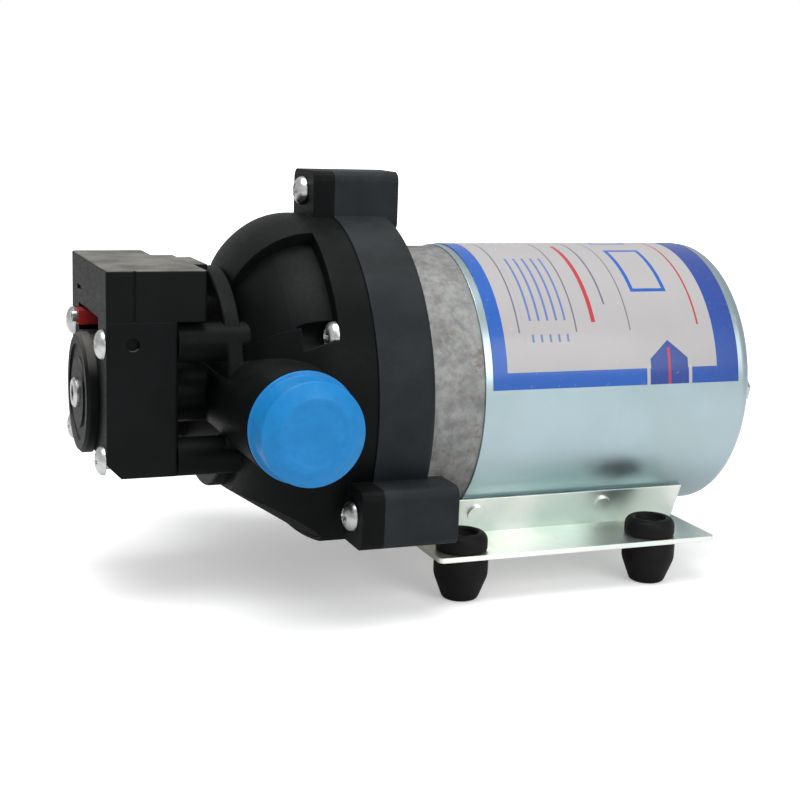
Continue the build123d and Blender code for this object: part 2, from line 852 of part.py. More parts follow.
# Pumping diaphragm: a sheet clamped by its rim, thicker where each piston holds it
with BuildPart() as pump_diaphragm:
    bar(parting_x - diaphragm_rim, parting_x, insert_radius)
    hole(parting_x - diaphragm_rim - overrun, parting_x + overrun, housing_cavity_radius)
    bar(
        wobble_centre_x - diaphragm_sheet / 2, wobble_centre_x + diaphragm_sheet / 2,
        housing_cavity_radius + diaphragm_sheet,
    )
    for y, up in piston_points:
        tilted_hole(-land_clearing, land_clearing, piston_radius + slide_gap, y, up)
        tilted_bar(-land_thickness / 2, land_thickness / 2, land_radius, y, up)
        tilted_hole(-land_thickness, land_thickness, piston_screw_radius + fit_gap, y, up)
save(pump_diaphragm, "pump_diaphragm")

# Pistons on the head side of the diaphragm, each held by a screw into the wobble plate
piston_front = -land_thickness / 2 - piston_thickness
head_depth = piston_thickness / 2
with BuildPart() as pistons:
    for y, up in piston_points:
        tilted_bar(piston_front, -land_thickness / 2, piston_radius, y, up)
        tilted_hole(piston_front - overrun, 0, piston_screw_radius + fit_gap, y, up)
        tilted_hole(
            piston_front - overrun, piston_front + head_depth, piston_screw_head + fit_gap, y, up
        )
save(pistons, "pistons")

with BuildPart() as piston_screws:
    for y, up in piston_points:
        tilted_bar(piston_front, piston_front + head_depth, piston_screw_head, y, up)
        tilted_bar(piston_front, wobble_seat_offset - 2 * fit_gap, piston_screw_radius, y, up)
save(piston_screws, "piston_screws")

# Valve plate: a pumping chamber for each piston, with holes to the inlet and outlet sides
chamber_floor_x = insert_front_x + valve_plate_thickness - chamber_depth
with BuildPart() as valve_plate:
    bar(insert_front_x, parting_x - diaphragm_rim, insert_radius)
    for y, up in piston_points:
        hole(chamber_floor_x, parting_x, chamber_radius, y, up)
    for y, up in outlet_hole_points:
        hole(insert_front_x - overrun, chamber_floor_x + overrun, outlet_hole_radius, y, up)
    hole(insert_front_x - overrun, parting_x, outlet_valve_stem + fit_gap)
    for y, up in inlet_valve_points:
        hole(insert_front_x - overrun, chamber_floor_x + overrun, inlet_valve_stem + fit_gap, y, up)
        with Locations(station(insert_front_x, y, up)):
            with PolarLocations((inlet_valve_radius + inlet_valve_stem) / 2, inlet_hole_count):
                Cylinder(inlet_hole_radius, valve_plate_thickness, align=on_end, mode=Mode.SUBTRACT)
save(valve_plate, "valve_plate")

# Inlet valves: an umbrella of rubber on each chamber's floor, held by its stem
with BuildPart() as inlet_valves:
    for y, up in inlet_valve_points:
        bar(chamber_floor_x, chamber_floor_x + inlet_valve_sheet, inlet_valve_radius, y, up)
        bar(insert_front_x - inlet_valve_bulb, chamber_floor_x, inlet_valve_stem, y, up)
        bar(insert_front_x - inlet_valve_bulb, insert_front_x, inlet_bulb_radius, y, up)
save(inlet_valves, "inlet_valves")

# Outlet valve: one rubber disc over the three outlet holes
with BuildPart() as outlet_valve:
    bar(insert_front_x - outlet_valve_sheet, insert_front_x, outlet_valve_radius)
    bar(insert_front_x, parting_x - diaphragm_rim, outlet_valve_stem)
save(outlet_valve, "outlet_valve")

# Head seal: an O-ring between the valve plate and the head
with BuildPart(station(insert_front_x - seal_radius)) as head_seal:
    Torus(seal_circle, seal_radius - fit_gap)
save(head_seal, "head_seal")

# Pump head: dome, flange, collar, neck and both ports in one moulding
dome_middle_x = collar_rear_x + dome_middle_share * dome_length
dome_shoulder_x = collar_rear_x + dome_shoulder_share * dome_length
dome_points = [
    (collar_rear_x, dome_root_radius),
    (dome_middle_x, dome_middle_radius),
    (dome_shoulder_x, dome_shoulder_radius),
    (flange_front_x, flange_radius),
]
pocket_floor = [(x, radius - pocket_depth) for x, radius in dome_points]
slope_plane = Plane(
    origin=(collar_rear_x, 0, axis_height - underside_collar_low + underside_step),
    x_dir=(0, 1, 0),
    z_dir=(dome_length, 0, underside_collar_low - underside_low),
)
thread_start_y = cap_start_y + cap_wall
with BuildPart() as pump_head:
    with BuildSketch(spoke(0)):
        with BuildLine():
            crown = ThreePointArc(*dome_points[:3])
            TangentArc(*dome_points[2:], tangent=crown % 1)
            Polyline(dome_points[3], (flange_front_x, 0), (collar_rear_x, 0), dome_points[0])
        make_face()
    revolve(axis=pump_axis)
    for start in (pocket_start_angle, -pocket_end_angle):
        with BuildSketch(spoke(start)):
            with BuildLine():
                crown = ThreePointArc(*pocket_floor[:3])
                TangentArc(*pocket_floor[2:], tangent=crown % 1)
                Polyline(
                    pocket_floor[3],
                    (flange_front_x, flange_radius + overrun),
                    (collar_rear_x, flange_radius + overrun),
                    pocket_floor[0],
                )
            make_face()
        revolve(
            axis=pump_axis, revolution_arc=pocket_end_angle - pocket_start_angle, mode=Mode.SUBTRACT
        )
    with BuildSketch(slope_plane):
        Rectangle(2 * housing_radius, 2 * underside_low)
        with Locations((0, underside_radius)):
            Circle(underside_radius, mode=Mode.SUBTRACT)
    extrude(amount=2 * dome_length, both=True, mode=Mode.SUBTRACT)
    bar(collar_front_x, collar_rear_x, collar_radius, 0, collar_lift)
    fillet(pump_head.edges().filter_by(GeomType.CIRCLE).sort_by(Axis.X)[0], collar_rounding)
    for y, up in screw_circle_points:
        hole(flange_front_x - head_screw_recess_length, flange_front_x, head_screw_recess, y, up)
    bar(flange_front_x, parting_x, flange_radius)
    with BuildSketch(station(flange_front_x)):
        with Locations((0, -underside_low)):
            Rectangle(2 * housing_radius, 2 * underside_low)
        with Locations((0, underside_radius - underside_low)):
            Circle(underside_radius, mode=Mode.SUBTRACT)
    extrude(amount=flange_thickness, mode=Mode.SUBTRACT)
    with BuildSketch(station(lobe_front_x)):
        with Locations((0, (tower_height + tower_foot) / 2)):
            RectangleRounded(tower_width, tower_height - tower_foot, tower_corner)
        with Locations((-lobe_y, -lobe_drop), (lobe_y, -lobe_drop)):
            RectangleRounded(lobe_width, lobe_height, lobe_corner)
    extrude(amount=parting_x - lobe_front_x)
    for side in (-1, 1):
        with Locations(port_plane(side, 0)):
            Cylinder(port_body_radius, port_body_reach, align=on_end)
            Cylinder(port_thread_radius, port_reach, align=on_end)
    with BuildSketch(station(block_rear_x)):
        SlotOverall(2 * neck_half_width, 2 * neck_half_height)
    extrude(amount=collar_front_x - block_rear_x)
    for y, up in switch_screw_points:
        bar(block_rear_x, dome_middle_x, column_radius, y, up)
    with BuildSketch(station(insert_front_x)):
        Circle(inlet_chamber_outer)
        Circle(inlet_chamber_inner, mode=Mode.SUBTRACT)
    extrude(amount=-inlet_chamber_length, mode=Mode.SUBTRACT)
    with Locations(port_plane(1, 0)):
        Cylinder(port_tube_radius, inlet_chamber_outer + overrun, align=on_end)
    hole(insert_front_x - outlet_chamber_length, parting_x + overrun, outlet_chamber_radius)
    hole(insert_front_x, parting_x + overrun, insert_radius + fit_gap)
    with BuildSketch(station(insert_front_x)):
        Circle(seal_circle + seal_radius)
        Circle(seal_circle - seal_radius, mode=Mode.SUBTRACT)
    extrude(amount=-2 * seal_radius, mode=Mode.SUBTRACT)
    with Locations(port_plane(-1, (inlet_chamber_inner + inlet_chamber_outer) / 2)):
        Cylinder(port_bore_radius, port_reach, align=on_end, mode=Mode.SUBTRACT)
    with Locations(port_plane(1, outlet_chamber_radius / 2)):
        Cylinder(port_bore_radius, port_reach, align=on_end, mode=Mode.SUBTRACT)
    hole(block_rear_x - overrun, insert_front_x - outlet_chamber_length + overrun, neck_bore_radius)
    for y, up in screw_circle_points:
        hole(flange_front_x - overrun, parting_x + overrun, head_screw_radius + screw_play, y, up)
    for y, up in lobe_screw_points:
        hole(lobe_front_x - overrun, parting_x + overrun, head_screw_radius + screw_play, y, up)
        hole(flange_front_x - head_screw_recess_length, lobe_front_x, head_screw_recess, y, up)
    for y, up in switch_screw_points:
        hole(
            block_rear_x - overrun, block_rear_x + switch_screw_grip + slide_gap,
            switch_screw_radius + fit_gap, y, up,
        )
    with BuildSketch(Plane.XY.offset(axis_height)):
        for side in (-1, 1):
            for turn in range(port_thread_turns):
                groove_y = side * (thread_start_y + turn * port_pitch)
                with Locations((port_x + port_thread_radius, groove_y)):
                    with Locations(Rotation(0, 0, thread_corner_angle)):
                        Rectangle(port_thread_depth, port_thread_depth)
    revolve(axis=Axis((port_x, 0, axis_height), (0, 1, 0)), mode=Mode.SUBTRACT)
save(pump_head, "pump_head")

# Head screws: two in the flange, and one each in the tower and the lobes
with BuildPart() as head_screws:
    for seat_x, points in ((flange_front_x, screw_circle_points), (lobe_front_x, lobe_screw_points)):
        for y, up in points:
            bar(seat_x, seat_x + head_screw_length, head_screw_radius, y, up)
            bar(seat_x - head_screw_head_height, seat_x, head_screw_head, y, up)
    for seat_x in (flange_front_x, lobe_front_x):
        fillet(rim_edges(head_screws, seat_x - head_screw_head_height), head_rounding)
    for seat_x, points in ((flange_front_x, screw_circle_points), (lobe_front_x, lobe_screw_points)):
        for y, up in points:
            cross_slot(seat_x - head_screw_head_height, head_screw_head, y, up)
save(head_screws, "head_screws")

# Port caps: a tapered blue cap pushed over the thread on each side
cap_end_y = cap_start_y + cap_length
cap_inner_radius = port_thread_radius + soft_gap
cap_body_radius = cap_inner_radius + cap_wall
for side, name in ((-1, "port_cap_near"), (1, "port_cap_far")):
    with BuildPart() as port_cap:
        with BuildSketch(Plane.XY.offset(axis_height)):
            with BuildLine():
                Polyline(
                    (port_x + cap_inner_radius, side * cap_start_y),
                    (port_x + cap_rim_radius, side * cap_start_y),
                    (port_x + cap_rim_radius, side * (cap_start_y + cap_rim_width)),
                    (port_x + cap_body_radius, side * (cap_start_y + cap_rim_width)),
                    (port_x + cap_body_radius, side * (cap_end_y - cap_shoulder)),
                    (port_x + cap_face_radius, side * cap_end_y),
                    (port_x, side * cap_end_y),
                    (port_x, side * (cap_end_y - cap_floor)),
                    (port_x + cap_face_radius - cap_wall, side * (cap_end_y - cap_floor)),
                    (port_x + cap_inner_radius, side * (cap_end_y - cap_shoulder)),
                    close=True,
                )
            make_face()
        revolve(axis=Axis((port_x, 0, axis_height), (0, 1, 0)))
    save(port_cap, name)

# Switch body: the block behind the neck, with the spring's bore and a notch for the terminals
with BuildPart() as switch_body:
    block(block_front_x, block_rear_x, -block_half_width, block_half_width, -block_low, block_high)
    front_low_edge = switch_body.edges().filter_by(Axis.Y).group_by(Axis.Z)[0].sort_by(Axis.X)[0]
    chamfer(front_low_edge, block_corner)
    fillet(switch_body.edges().filter_by(Axis.Z), block_edge)
    hole(block_front_x - overrun, bore_end_x, chamber_bore_radius)
    hole(bore_end_x - overrun, block_rear_x, plunger_foot_radius + slide_gap)
    hole(block_rear_x - switch_sheet, block_rear_x + overrun, switch_sheet_radius + fit_gap)
    cut(
        block_front_x - overrun, block_front_x + notch_length,
        -notch_half_width, notch_half_width, notch_low, block_high + overrun,
    )
    cut(
        plunger_front_x - plunger_travel - slide_gap, bore_end_x - slide_gap,
        -arm_half_width - slide_gap, arm_half_width + slide_gap, 0, block_high + overrun,
    )
    for y, up in switch_screw_points:
        hole(block_front_x - overrun, block_rear_x + overrun, switch_screw_radius + screw_play, y, up)
    side_hole_centre = (side_hole_x, -block_half_width, axis_height + side_hole_up)
    with Locations(Plane(origin=side_hole_centre, z_dir=(0, -1, 0))):
        Cylinder(side_hole_radius, 2 * side_hole_depth, mode=Mode.SUBTRACT)
save(switch_body, "switch_body")

# Switch cover: the box over the microswitch, with a tongue that reaches back to the collar
cover_rear_x = block_rear_x + cover_overhang
cover_top = block_high + cover_height
with BuildPart() as switch_cover:
    block(block_front_x, cover_rear_x, -block_half_width, cover_far_width, block_high, cover_top)
    block(
        block_front_x, cover_rear_x - cover_far_step,
        cover_far_width, block_half_width, block_high, cover_top,
    )
    fillet(switch_cover.edges().filter_by(Axis.Z), block_edge)
    fillet(switch_cover.edges().group_by(Axis.Z)[-1], block_edge / 2)
    block(
        cover_rear_x - overrun, collar_front_x - soft_gap, -tongue_near_width, tongue_far_width,
        cover_top - tongue_height, cover_top - tongue_step,
    )
    cut(
        block_front_x + cover_wall, block_rear_x - overrun,
        cover_wall - block_half_width, block_half_width - cover_wall,
        block_high - overrun, cover_top - cover_wall,
    )
    cut(
        block_front_x - overrun, block_front_x + cover_mark_depth,
        cover_mark_y - cover_mark_width / 2, cover_mark_y + cover_mark_width / 2,
        cover_mark_up, cover_mark_up + cover_mark_height,
    )
    cut(
        cover_seam_x, cover_seam_x + cover_seam,
        -block_half_width - overrun, cover_seam / 2 - block_half_width, block_high - overrun, cover_top,
    )
save(switch_cover, "switch_cover")

# Switch cap: the round disc that closes the spring's bore and carries the adjusting screw
with BuildPart() as switch_cap:
    bar(disc_front_x, block_front_x, disc_radius)
    chamfer(switch_cap.edges().filter_by(GeomType.CIRCLE).sort_by(Axis.X)[0], disc_chamfer)
    bar(block_front_x, block_front_x + disc_spigot, chamber_bore_radius - fit_gap)
    with BuildSketch(station(disc_front_x)):
        Circle(disc_ring_outer)
        Circle(disc_ring_inner, mode=Mode.SUBTRACT)
    extrude(amount=disc_ring_depth, mode=Mode.SUBTRACT)
    hole(disc_front_x - overrun, block_front_x + disc_spigot + overrun, adjuster_radius + fit_gap)
save(switch_cap, "switch_cap")

# Adjusting screw: turning it moves the spring cup and sets the cut-out pressure
with BuildPart() as adjusting_screw:
    bar(adjuster_front_x, adjuster_rear_x, adjuster_radius)
    chamfer(adjusting_screw.edges().filter_by(GeomType.CIRCLE).sort_by(Axis.X)[0], disc_ring_depth)
    with BuildSketch(station(adjuster_front_x)):
        RegularPolygon(adjuster_socket / 2, side_count=6, major_radius=False)
    extrude(amount=adjuster_socket_depth, mode=Mode.SUBTRACT)
save(adjusting_screw, "adjusting_screw")

# Spring cup, spring and plunger behind the adjusting screw
cup_rear_x = cup_front_x + cup_sheet
with BuildPart() as spring_cup:
    bar(cup_front_x, cup_rear_x, cup_radius)
    bar(cup_rear_x, cup_rear_x + cup_boss_height, cup_boss_radius)
save(spring_cup, "spring_cup")

with BuildPart() as switch_spring:
    bar(cup_rear_x, plunger_front_x, switch_spring_radius)
    hole(cup_rear_x, plunger_front_x, switch_spring_radius - switch_spring_wire)
save(switch_spring, "switch_spring")

with BuildPart() as switch_plunger:
    bar(plunger_front_x, plunger_front_x + plunger_thickness, plunger_radius)
    bar(plunger_front_x + plunger_thickness, block_rear_x - switch_sheet, plunger_foot_radius)
    bar(plunger_front_x - plunger_boss_height, plunger_front_x, plunger_boss_radius)
    block(
        plunger_front_x, plunger_front_x + arm_thickness, -arm_half_width, arm_half_width, 0, arm_top
    )
save(switch_plunger, "switch_plunger")

with BuildPart() as switch_diaphragm:
    bar(block_rear_x - switch_sheet, block_rear_x, switch_sheet_radius)
save(switch_diaphragm, "switch_diaphragm")

# Switch screws, through the block into the columns on the pump head
with BuildPart() as switch_screws:
    for y, up in switch_screw_points:
        bar(block_front_x, block_rear_x + switch_screw_grip, switch_screw_radius, y, up)
        bar(block_front_x - switch_screw_head_height, block_front_x, switch_screw_head, y, up)
    fillet(rim_edges(switch_screws, block_front_x - switch_screw_head_height), head_rounding)
    for y, up in switch_screw_points:
        cross_slot(block_front_x - switch_screw_head_height, switch_screw_head, y, up)
save(switch_screws, "switch_screws")

# Microswitch on the block, with its button towards the plunger's arm
micro_rear_x = plunger_front_x - slide_gap - button_reach
micro_front_x = micro_rear_x - micro_depth
button_front_x = micro_rear_x - button_buried
with BuildPart() as microswitch:
    block(
        micro_front_x, micro_rear_x, -micro_half_width, micro_half_width,
        block_high, block_high + micro_height,
    )
    fillet(microswitch.edges().filter_by(Axis.Z), block_edge)
    hole(
        button_front_x - plunger_travel - slide_gap, micro_rear_x + overrun,
        button_radius + slide_gap, 0, button_up,
    )
save(microswitch, "microswitch")

with BuildPart() as microswitch_button:
    bar(button_front_x, plunger_front_x - slide_gap, button_radius, 0, button_up)
save(microswitch_button, "microswitch_button")

# Terminal blades under the microswitch, bent forwards into the notch
blade_up = block_high - blade_drop
with BuildPart() as terminal_blades:
    for side in (-1, 1):
        near, far = side * blade_y - blade_half_width, side * blade_y + blade_half_width
        block(blade_leg_x, blade_leg_x + blade_sheet, near, far, blade_up - blade_sheet, block_high)
        block(blade_front_x, blade_leg_x, near, far, blade_up - blade_sheet, blade_up)
save(terminal_blades, "terminal_blades")

# Push-on terminal on the far blade, in its red sleeve; its crimp barrel is empty
blade_middle = blade_up - blade_sheet / 2
sleeve_rear_x = sleeve_front_x + sleeve_length
with BuildPart() as push_on_terminal:
    block(
        barrel_rear_x, sleeve_rear_x - slide_gap,
        blade_y - terminal_half_width, blade_y + terminal_half_width,
        blade_middle - terminal_half_height, blade_middle + terminal_half_height,
    )
    bar(barrel_rear_x - barrel_length, barrel_rear_x, barrel_radius, blade_y, blade_middle)
    hole(
        barrel_rear_x - barrel_length - overrun, barrel_rear_x, barrel_radius - barrel_wall,
        blade_y, blade_middle,
    )
    cut(
        barrel_rear_x, sleeve_rear_x + overrun,
        blade_y - blade_half_width - fit_gap, blade_y + blade_half_width + fit_gap,
        blade_middle - blade_sheet / 2 - fit_gap, blade_middle + blade_sheet / 2 + fit_gap,
    )
save(push_on_terminal, "push_on_terminal")

with BuildPart() as terminal_sleeve:
    with BuildSketch(station(sleeve_front_x, blade_y, blade_middle)):
        RectangleRounded(
            2 * (terminal_half_width + sleeve_wall), 2 * (terminal_half_height + sleeve_wall),
            sleeve_wall / 2,
        )
        Rectangle(
            2 * (terminal_half_width + fit_gap), 2 * (terminal_half_height + fit_gap),
            mode=Mode.SUBTRACT,
        )
    extrude(amount=sleeve_length)
save(terminal_sleeve, "terminal_sleeve")
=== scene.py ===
# %% [markdown]
# A caravan water pump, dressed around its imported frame. The solids give the true sizes, and this
# script gives them their finishes and makes the finer pieces: caps, feet, screws, springs, bolts
# and the pumping diaphragm. The pump's lengths are in millimetres until they go into a mesh, and
# those of the floor and the lamps are in metres.

# %% Load the frame
import json
from math import cos, degrees, pi, radians, sin, sqrt

import bmesh
import bpy
from mathutils import Matrix, Vector


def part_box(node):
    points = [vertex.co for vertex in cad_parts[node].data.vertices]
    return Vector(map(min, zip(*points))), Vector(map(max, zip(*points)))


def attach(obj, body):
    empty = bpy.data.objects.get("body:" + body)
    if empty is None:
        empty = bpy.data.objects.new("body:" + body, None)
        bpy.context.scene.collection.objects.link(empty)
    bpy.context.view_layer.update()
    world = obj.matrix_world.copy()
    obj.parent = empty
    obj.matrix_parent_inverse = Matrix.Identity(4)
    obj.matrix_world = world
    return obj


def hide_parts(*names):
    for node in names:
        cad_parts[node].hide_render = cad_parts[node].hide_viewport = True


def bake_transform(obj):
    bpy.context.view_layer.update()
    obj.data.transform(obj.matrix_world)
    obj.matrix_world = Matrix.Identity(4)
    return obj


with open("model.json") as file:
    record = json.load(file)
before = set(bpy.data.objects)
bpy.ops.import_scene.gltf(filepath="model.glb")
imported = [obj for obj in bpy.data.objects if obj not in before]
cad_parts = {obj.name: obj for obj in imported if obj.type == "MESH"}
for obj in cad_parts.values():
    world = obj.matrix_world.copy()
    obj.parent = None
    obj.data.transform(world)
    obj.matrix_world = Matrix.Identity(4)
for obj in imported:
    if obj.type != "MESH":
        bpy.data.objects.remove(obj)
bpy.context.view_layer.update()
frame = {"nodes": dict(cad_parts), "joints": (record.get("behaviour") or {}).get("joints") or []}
mm = 0.001
axis_height = 46.95  # from the floor up to the motor's axis

# %% [markdown]
# The camera comes first, because every later choice is judged through it. Its place was worked
# out from straight edges and circles of the pump, so it stands where the photographer stood:
# a little above the pump, to the left of its near side, and close enough to show perspective.

# %% Camera
view_azimuth, view_elevation, view_roll = radians(-21.59), radians(11.11), radians(1.93)
view_distance = 374.9
view_aim = Vector((-29.91, 0, 41.86))
focal_pixels, picture_pixels, sensor_width = 1490.97, 800, 36
back = Vector((
    sin(view_azimuth) * cos(view_elevation),
    -cos(view_azimuth) * cos(view_elevation),
    sin(view_elevation),
))
level_right = (-back).cross(Vector((0, 0, 1))).normalized()
level_up = level_right.cross(-back)
right = level_right * cos(view_roll) + level_up * sin(view_roll)
up = level_up * cos(view_roll) - level_right * sin(view_roll)
lens = bpy.data.cameras.new("photo_camera")
lens.sensor_width = sensor_width
lens.lens = focal_pixels / picture_pixels * sensor_width
lens.clip_start = 10 * mm
camera = bpy.data.objects.new("photo_camera", lens)
turn = Matrix((right, up, back)).transposed().to_4x4()
camera.matrix_world = Matrix.Translation((view_aim + back * view_distance) * mm) @ turn
bpy.context.collection.objects.link(camera)
bpy.context.scene.camera = camera
bpy.context.scene.view_settings.view_transform = "Standard"
print("camera stands at", tuple(round(c, 4) for c in camera.location))

# %% [markdown]
# A shader is a web of small sums. Written node by node it is long, so a socket is wrapped in a
# small class, and an expression such as 1 - mask * 0.5 adds its own Math nodes. The Finish class
# makes any other node: its settings go in first, because they decide which sockets it has.

# %% Sockets that can be added and multiplied
class Wire:
    """An output of a node that takes part in sums."""

    def __init__(self, finish, socket):
        self.finish, self.socket = finish, socket

    def sum(self, kind, other, turned=False):
        first, second = (other, self) if turned else (self, other)
        return self.finish.node("ShaderNodeMath", {"operation": kind}, {0: first, 1: second})

    def __add__(self, other):
        return self.sum("ADD", other)

    def __sub__(self, other):
        return self.sum("SUBTRACT", other)

    def __rsub__(self, other):
        return self.sum("SUBTRACT", other, turned=True)

    def __mul__(self, other):
        return self.sum("MULTIPLY", other)

    def __truediv__(self, other):
        return self.sum("DIVIDE", other)

    def __gt__(self, other):
        return self.sum("GREATER_THAN", other)

    __radd__ = __add__
    __rmul__ = __mul__


class Finish:
    """A material and the nodes that make it."""

    def __init__(self, name, roughness=0.5, metallic=0.0, **fixed):
        self.material = bpy.data.materials.new(name)
        self.material.use_nodes = True
        self.tree = self.material.node_tree
        self.shader = self.tree.nodes["Principled BSDF"]
        self.set(Roughness=roughness, Metallic=metallic, **fixed)
        self.place = self.node("ShaderNodeTexCoord", output="Object")
        self.facing = self.node("ShaderNodeNewGeometry", output="Normal")

    def node(self, kind, settings=None, inputs=None, output=0):
        made = self.tree.nodes.new(kind)
        for key, value in (settings or {}).items():
            setattr(made, key, value)
        for key, value in (inputs or {}).items():
            self.feed(made.inputs[key], value)
        return Wire(self, made.outputs[output])

    def feed(self, socket, value):
        if isinstance(value, Wire):
            self.tree.links.new(value.socket, socket)
        else:
            socket.default_value = (*value, 1) if socket.type == "RGBA" else value

    def set(self, **values):
        for name, value in values.items():
            self.feed(self.shader.inputs[name.replace("_", " ")], value)

    def part(self, vector, axis):
        return self.node("ShaderNodeSeparateXYZ", inputs={0: vector}, output=axis)

    def stretched(self, x=1.0, y=1.0, z=1.0):
        """The piece's own coordinates in millimetres, squeezed or drawn out along its sides."""
        return self.node(
            "ShaderNodeVectorMath", {"operation": "MULTIPLY"},
            {0: self.place, 1: (x / mm, y / mm, z / mm)},
        )

    def noise(self, scale, detail=3.0, roughness=0.5, place=None):
        """A cloudy pattern from 0 to 1, its scale in patches per millimetre."""
        return self.node(
            "ShaderNodeTexNoise", inputs={
                "Vector": place or self.stretched(), "Scale": scale,
                "Detail": detail, "Roughness": roughness,
            },
        )

    def ease(self, value, low, high):
        """Rises smoothly from 0 at low to 1 at high."""
        return self.node(
            "ShaderNodeMapRange", {"interpolation_type": "SMOOTHSTEP"},
            {"Value": value, "From Min": low, "From Max": high},
        )

    def blend(self, share, first, second):
        return self.node(
            "ShaderNodeMix", {"data_type": "RGBA"}, {0: share, 6: first, 7: second}, output=2
        )

    def round_edges(self, radius=0.35):
        """The surface's direction with its sharp edges rounded off, radius in millimetres."""
        return self.node(
            "ShaderNodeBevel", {"samples": 4}, {"Radius": radius * mm}, output="Normal"
        )

    def edges(self, rounded, low=0.02, high=0.3):
        """1 along edges and 0 on open faces."""
        alike = self.node(
            "ShaderNodeVectorMath", {"operation": "DOT_PRODUCT"},
            {0: rounded, 1: self.facing}, output="Value",
        )
        return self.ease(1 - alike, low, high)

    def bump(self, height, depth, rounded=None):
        """Raises the surface by a height from 0 to 1 times a depth in millimetres."""
        inputs = {"Height": height, "Distance": depth * mm, "Strength": 1.0}
        if rounded:
            inputs["Normal"] = rounded
        self.set(Normal=self.node("ShaderNodeBump", inputs=inputs))


# %% [markdown]
# Most of the pump is black moulded plastic, filled with glass. New, it looks satin and even. A
# closer look shows a fine grain, a grey bloom of dust where it faces up, and paler corners where
# the skin is rubbed. The pale grey on upward faces is also painted light from above, most of all on
# the switch. Three masks do this: a cloud, the upward facing share, and the edges.

# %% Black moulded plastic
def black_plastic(name, shade, dust_and_top_light_shade, dust_and_top_light_share, roughness=0.42, grain=0.02, shine=0.13):
    finish = Finish(name, Specular_IOR_Level=shine)
    clouds = finish.noise(0.12, 4.0)
    specks = finish.noise(1.4, 3.0, 0.6)
    rounded = finish.round_edges(0.45)
    edge = finish.edges(rounded)
    lifted = finish.ease(finish.part(finish.facing, 2), 0.35, 1.0)
    deep = tuple(c * 0.72 for c in shade)
    rubbed = tuple(c * 3.2 + 0.01 for c in shade)
    colour = finish.blend(finish.ease(clouds, 0.35, 0.65), deep, shade)
    colour = finish.blend(edge * finish.ease(specks, 0.35, 0.7) * 0.6, colour, rubbed)
    # The pale grey on upward faces is partly dust and partly painted light from above.
    dust_and_top_light = lifted * (finish.ease(clouds, 0.2, 0.7) * 0.6 + 0.4) * dust_and_top_light_share
    colour = finish.blend(dust_and_top_light, colour, dust_and_top_light_shade)
    gloss = finish.ease(specks, 0.3, 0.7) * 0.12 + dust_and_top_light * 0.2
    finish.set(Base_Color=colour, Roughness=roughness + gloss)
    finish.bump(finish.noise(5.0, 2.0), grain, rounded)
    return finish.material


dust_and_top_light_grey = (0.085, 0.084, 0.080)
head_plastic = black_plastic(
    "head_plastic", (0.0030, 0.0038, 0.0040), dust_and_top_light_grey, 0.06, shine=0.065
)
housing_plastic = black_plastic(
    "housing_plastic", (0.0145, 0.0175, 0.0200), dust_and_top_light_grey, 0.10, 0.48, shine=0.12
)
# The switch's strong pale top is painted light from above as well as dust.
switch_dust_and_top_light = (0.18, 0.175, 0.16)
switch_plastic = black_plastic(
    "switch_plastic", (0.0036, 0.0044, 0.0046), switch_dust_and_top_light, 0.9, shine=0.085
)
print("black plastics ready")

# %% [markdown]
# The can, the cradle and the base plate are steel with a bright zinc plate. Zinc is a metal, so
# its colour comes from what it reflects, and the finish only tints and blurs it. The passivated
# coat adds bands from cream to green, strongest on the flat plate. Faint lines from rolling run
# along the sheet, which a noise stretched along X draws.

# %% Zinc plate
def zinc(name, shade, tint_share, roughness=0.26):
    finish = Finish(name, metallic=1.0)
    rolled = finish.noise(1.6, 3.0, 0.5, finish.stretched(x=0.06))
    clouds = finish.noise(0.055, 3.0)
    blotches = finish.noise(0.4, 4.0, 0.6)
    rounded = finish.round_edges(0.3)
    drift = finish.part(finish.place, 0) / mm * 0.016 + clouds * 1.5
    band = finish.node("ShaderNodeMath", {"operation": "PINGPONG"}, {0: drift, 1: 1.0})
    tint = finish.blend(finish.ease(band, 0.15, 0.85), (0.90, 0.84, 0.66), (0.50, 0.72, 0.62))
    dull = tuple(0.9 * c for c in shade)
    colour = finish.blend(finish.ease(clouds, 0.35, 0.7), shade, dull)
    colour = finish.blend(finish.ease(clouds, 0.25, 0.75) * tint_share, colour, tint)
    colour = finish.blend(finish.ease(blotches, 0.62, 0.8) * 0.18, colour, (0.42, 0.43, 0.42))
    colour = finish.blend(finish.edges(rounded) * 0.6, colour, (0.93, 0.94, 0.93))
    gloss = rolled * 0.10 + finish.ease(blotches, 0.5, 0.8) * 0.10
    finish.set(Base_Color=colour, Roughness=roughness + gloss)
    finish.bump(rolled * 0.6 + finish.noise(2.5, 2.0) * 0.4, 0.006, rounded)
    return finish.material


can_zinc = zinc("can_zinc", (0.385, 0.49, 0.53), 0.08, 0.30)
plate_zinc = zinc("plate_zinc", (0.88, 0.89, 0.86), 0.34, 0.30)
print("zinc plates ready")

# %% [markdown]
# The front bell is cast, and its skin stays rough. It has a mottled grey colour with soft brown
# stains where the coat is thin. Noises of several sizes give the stains, the mottling and the
# relief: one size alone would look like a printed pattern.

